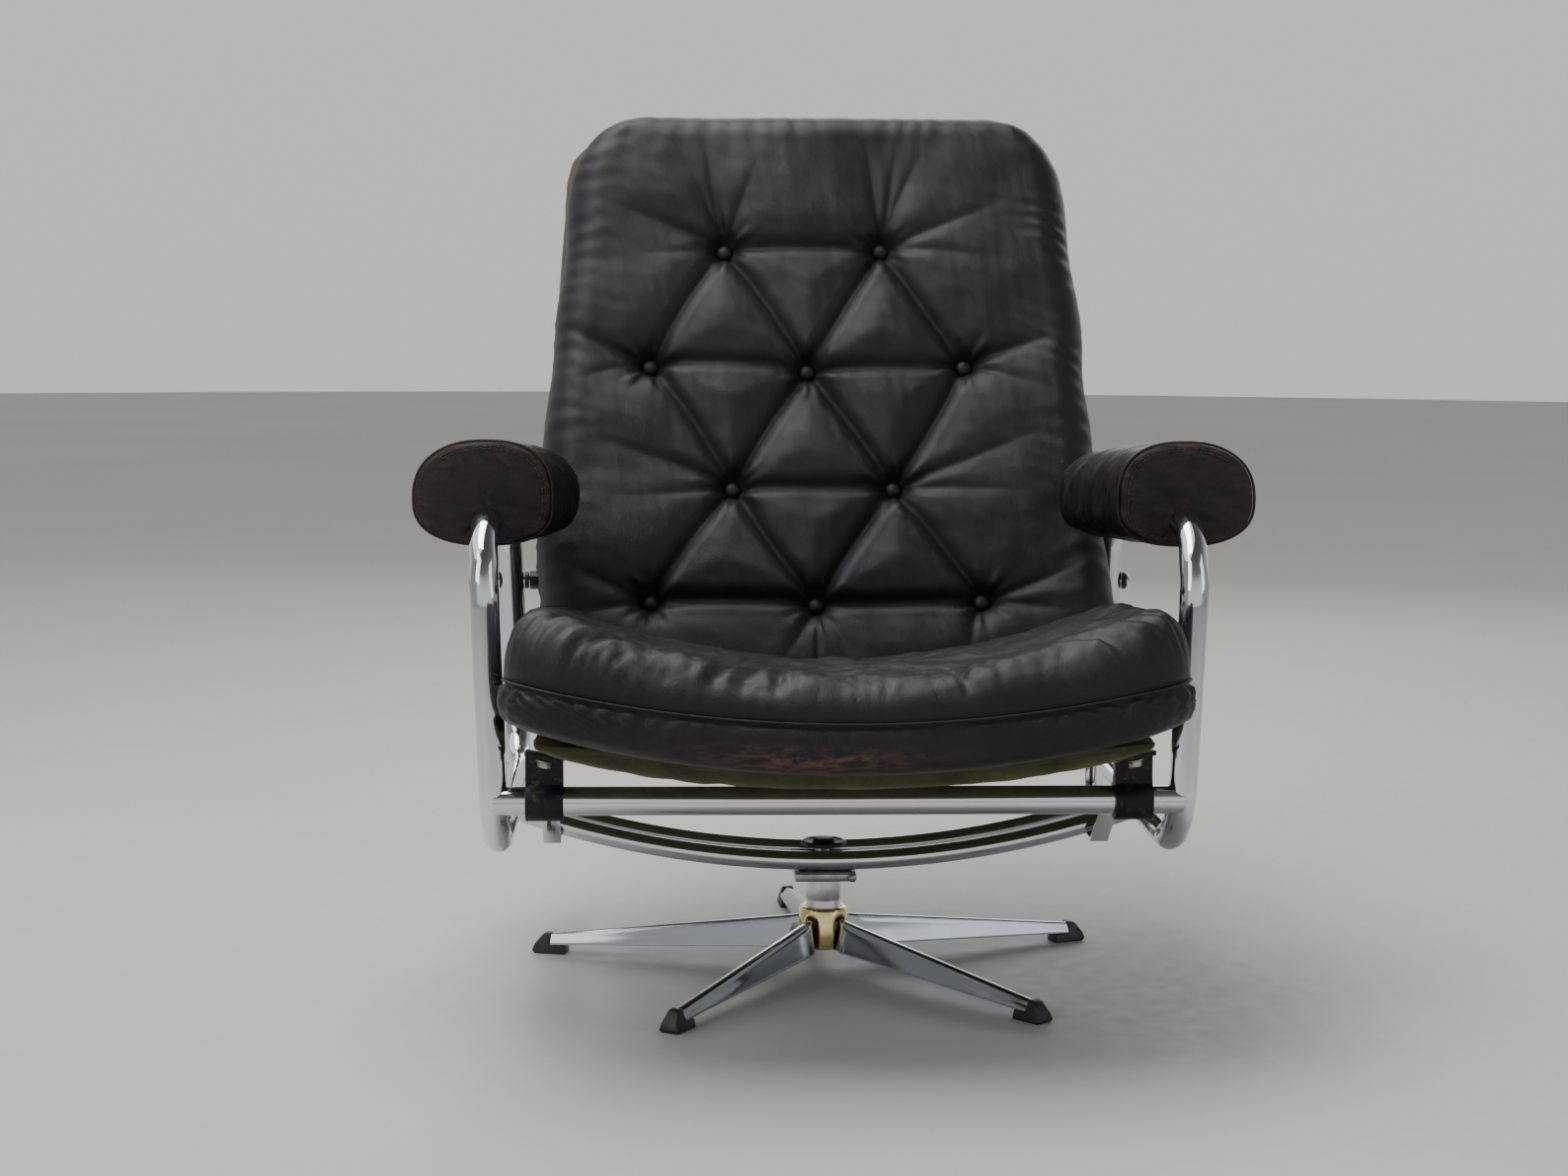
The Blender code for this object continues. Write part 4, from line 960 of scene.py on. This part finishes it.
def pad_ring(side, t, scale, y, extra):
    """Section of an arm pad: rounder on the outside, fuller at the bottom inside."""
    c, s = np.cos(ANGLES), np.sin(ANGLES)
    grow = 0.009 * math.sin(math.pi * min(1.0, t / 0.9) * 0.5)
    half = PAD_HALF + grow
    drop = ARM_SLOPE * (y - PAD_Y[0])
    low, high = PAD_Z[0] - drop, PAD_Z[1] - 0.007 * t - drop
    core = low + 0.44 * (high - low)
    outer = c > 0.0
    x = half * np.sign(c) * np.abs(c) ** np.where(outer, 0.92, 0.76)
    above = (high - core) * np.abs(s) ** np.where(outer, 0.84, 0.76)
    below = (core - low) * np.abs(s) ** np.where(outer, 0.74, 0.62)
    z = np.where(s >= 0.0, above, -below)
    x = x * scale + extra * c
    z = z * scale + extra * s
    return np.stack((side * (PAD_X - grow + x), np.full(PAD_SIDES, y + COL_Y), core + z), 1)


def pad_cap(side):
    """Rings of the domed front cap, gathered round the tube, out to its seam."""
    rings = []
    y0 = PAD_Y[0]
    tube_z = LOOP_Z[1]
    for scale in (0.10, 0.22, 0.36, 0.48, 0.60, 0.70, 0.79, 0.86, 0.915, 0.95):
        ring = pad_ring(side, 0.0, scale, y0 - 0.0012 - PAD_DOME * (1.0 - scale ** 3.0), 0.0)
        hub = np.hypot(np.abs(ring[:, 0]) - loop_x(tube_z), ring[:, 2] - tube_z)
        swirl = np.sin(11.0 * np.arctan2(ring[:, 2] - tube_z, ring[:, 0] - side * loop_x(tube_z)))
        ring[:, 1] -= 0.0011 * swirl * np.exp(-((hub - 0.017) / 0.010) ** 2)
        ring[:, 1] += 0.0030 * np.exp(-((hub - 0.010) / 0.008) ** 2)
        ring[:, 1] += 0.0007 * waves(ring[:, 0], ring[:, 2], 51, 0.035)
        rings.append(ring)
    for scale, dy, extra in ((0.972, -0.0010, 0.0), (0.984, 0.0008, 0.0), (0.990, 0.0024, 0.0),
                             (0.996, 0.0046, 0.0), (1.0, 0.0080, 0.0004)):
        rings.append(pad_ring(side, 0.0, scale, y0 + dy, extra))
    return rings


def pad_sleeve(side):
    """Rings of the long part behind the cap, rounded off at the rear."""
    rings = []
    start = PAD_Y[0] + 0.008
    steps = 96
    c, s = np.cos(ANGLES), np.sin(ANGLES)
    inner = smooth((-c - 0.2) / 0.5)
    for k in range(1, steps + 1):
        t = k / float(steps)
        close = max(0.0, 1.0 - (1.0 - t) / 0.10)
        scale = math.sqrt(max(0.02, 1.0 - close ** 2.4))
        ring = pad_ring(side, t, scale, start + (PAD_Y[1] - start) * t, 0.0008 * math.sin(math.pi * t))
        x, y, z = ring.T.copy()
        body = waves(y, z + x, 53, 0.060)
        fine = waves(y * 1.5, z - x, 54, 0.018)
        pull = np.sin(2.0 * math.pi * (y * 0.25 + ANGLES * 0.045) / 0.016) * math.exp(-t * 14.0)
        rib = np.sin(2.0 * math.pi * y / 0.028 + 1.3 * body)
        bump = 0.0010 * body + 0.0004 * fine + 0.0005 * pull
        bump += 0.0008 * rib * inner * smooth((t - 0.1) / 0.2)
        ring[:, 0] += side * c * bump
        ring[:, 2] += s * bump
        rings.append(ring)
    return rings


def pad_stitches(side):
    """Two rows of stitches on the cap, along its inner edge and top."""
    c, s = np.cos(ANGLES), np.sin(ANGLES)
    stitches = []
    for scale in (0.915, 0.870):
        line = pad_ring(side, 0.0, scale, PAD_Y[0], 0.0)
        lift = np.array((0.0, -PAD_DOME * (1.0 - scale ** 3.0) - 0.0016, 0.0))
        for k in range(PAD_SIDES):
            along_edge = c[k] < -0.25 or s[k] > 0.75
            if not along_edge or k % 3 == 2:
                continue
            a, b = line[k], line[(k + 1) % PAD_SIDES]
            bits = [a + lift, 0.5 * (a + b) + lift * 1.12, b + lift]
            stitches.append(sweep(bits, 0.00042, 6))
    return merge(*stitches)


def make_pad(side, tag):
    node = "arm_pad_" + tag
    rings = pad_cap(side) + pad_sleeve(side)
    obj = make("padded_arm_" + tag, np.concatenate(rings), capped(len(rings), PAD_SIDES),
               MATS["pad_leather"], "frame", stand_for=(node,))
    co = coords(obj)
    rim = np.exp(-((co[:, 1] - COL_Y - PAD_Y[0] - 0.002) / 0.006) ** 2)
    attribute(obj, "wear", np.clip(rim * 0.9 + 0.35 * smooth((co[:, 2] - 0.53) / 0.01), 0.0, 1.0))
    # painted highlight: lighter leather round the front rim of the cap
    attribute(obj, "ridge_highlight", rim * 0.35)
    path = pad_ring(side, 0.0, 0.993, PAD_Y[0] + 0.0010, 0.0012)
    pipe = make("arm_piping_" + tag, *sweep(path, 0.0014, 8, cyclic=True), MATS["pad_leather"], "frame",
                link_slot=node)
    # painted highlight and real wear, both even over the whole arm piping
    for key in ("ridge_highlight", "wear"):
        attribute(pipe, key, np.full(len(pipe.data.vertices), 0.5))
    make("arm_stitching_" + tag, *pad_stitches(side), MATS["thread"], "frame", link_slot=node)


# ---------------------------------------------------------------- shells

def make_shells():
    for node, name in (("seat_shell", "seat_pan"), ("back_shell", "back_panel")):
        obj = refine(node, MATS["velour"], "seat_unit", 180.0, 0.0, 2, 2, name=name)
        co = coords(obj)
        mesh = obj.data
        normal = np.zeros(len(mesh.vertices) * 3, np.float32)
        mesh.vertices.foreach_get("normal", normal)
        normal = normal.reshape(-1, 3)
        shift = 0.0005 * waves(co[:, 0] + co[:, 1], co[:, 2] * 1.4, 61, 0.03) - 0.0004
        mesh.vertices.foreach_set("co", (co + normal * shift[:, None]).astype(np.float32).ravel())


# ---------------------------------------------------------------- studio

def area(name, place, target, size, power, tint=(1.0, 1.0, 1.0)):
    data = bpy.data.lights.new(name, "AREA")
    data.shape = "RECTANGLE"
    data.size, data.size_y = size
    data.energy = power
    data.color = tint
    obj = bpy.data.objects.new(name, data)
    obj.location = place
    obj.rotation_euler = (Vector(target) - Vector(place)).to_track_quat("-Z", "Y").to_euler()
    bpy.context.scene.collection.objects.link(obj)


def make_floor():
    n = Nodes("pale_floor")
    board = n.noise(0.8, 4.0, 0.6)
    grit = n.noise(45.0, 5.0, 0.65)
    colour = n.mix(n.span(board, 0.3, 0.7), (0.47, 0.465, 0.445), (0.51, 0.505, 0.49))
    mat = n.finish(colour, n.span(grit, 0.3, 0.7, 0.50, 0.68), n.bump(grit, 0.0006, 0.3))
    radius = 14.0
    turns = np.linspace(0, 2 * math.pi, 65)[:-1]
    ring = [(radius * math.cos(a), radius * math.sin(a) + COL_Y, 0.0) for a in turns]
    mesh = bpy.data.meshes.new("floor")
    mesh.from_pydata(ring, [], [tuple(range(len(ring)))])
    mesh.materials.append(mat)
    floor = bpy.data.objects.new("floor", mesh)
    bpy.context.scene.collection.objects.link(floor)


def make_world():
    """Bright round the horizon, dark overhead, and dimmer to both sides for the chrome."""
    world = bpy.data.worlds.new("studio")
    bpy.context.scene.world = world
    world.use_nodes = True
    tree = world.node_tree
    back = tree.nodes["Background"]
    coord = tree.nodes.new("ShaderNodeTexCoord")
    split = tree.nodes.new("ShaderNodeSeparateXYZ")
    tree.links.new(coord.outputs["Generated"], split.inputs[0])
    ramp = tree.nodes.new("ShaderNodeValToRGB")
    stops = ramp.color_ramp.elements
    stops[0].position, stops[0].color = 0.44, (0.80, 0.80, 0.79, 1.0)
    stops[1].position, stops[1].color = 0.60, (0.80, 0.81, 0.82, 1.0)
    for place, tone in ((0.72, 0.60), (0.79, 0.20), (0.93, 0.09)):
        stop = ramp.color_ramp.elements.new(place)
        stop.color = (tone, tone, tone * 1.02, 1.0)
    half = tree.nodes.new("ShaderNodeMath")
    half.operation = "MULTIPLY_ADD"
    half.inputs[1].default_value = 0.5
    half.inputs[2].default_value = 0.5
    tree.links.new(split.outputs["Z"], half.inputs[0])
    tree.links.new(half.outputs[0], ramp.inputs[0])
    tree.links.new(ramp.outputs[0], back.inputs[0])
    across = tree.nodes.new("ShaderNodeMath")
    across.operation = "ABSOLUTE"
    tree.links.new(split.outputs["X"], across.inputs[0])
    flag = tree.nodes.new("ShaderNodeMapRange")
    for key, number in (("From Min", 0.72), ("From Max", 0.94), ("To Min", 0.85), ("To Max", 0.36)):
        flag.inputs[key].default_value = number
    tree.links.new(across.outputs[0], flag.inputs["Value"])
    tree.links.new(flag.outputs["Result"], back.inputs[1])


def make_lights():
    middle = (0.0, 0.0, 0.4)
    area("key", (-2.6, -2.2, 2.6), middle, (1.8, 2.4), 30.0, (1.0, 0.99, 0.97))
    area("fill", (3.0, -1.6, 1.8), middle, (1.4, 2.2), 12.0, (0.94, 0.97, 1.0))
    area("top", (-0.7, 0.2, 2.9), middle, (2.6, 1.4), 84.0)
    sun = bpy.data.lights.new("daylight", "SUN")
    sun.energy = 1.1
    sun.angle = math.radians(70.0)
    lamp = bpy.data.objects.new("daylight", sun)
    lamp.rotation_euler = (math.radians(-12.0), math.radians(-26.0), 0.0)
    bpy.context.scene.collection.objects.link(lamp)
    area("rim", (0.8, 3.0, 1.8), (0.0, 0.0, 0.5), (2.6, 1.6), 26.0)


add_camera()
make_tubes()
make_legs()
make_hardware()
make_back()
make_seat()
for pad_side, pad_tag in ((-1.0, "L"), (1.0, "R")):
    make_pad(pad_side, pad_tag)
make_shells()
make_floor()
make_world()
make_lights()
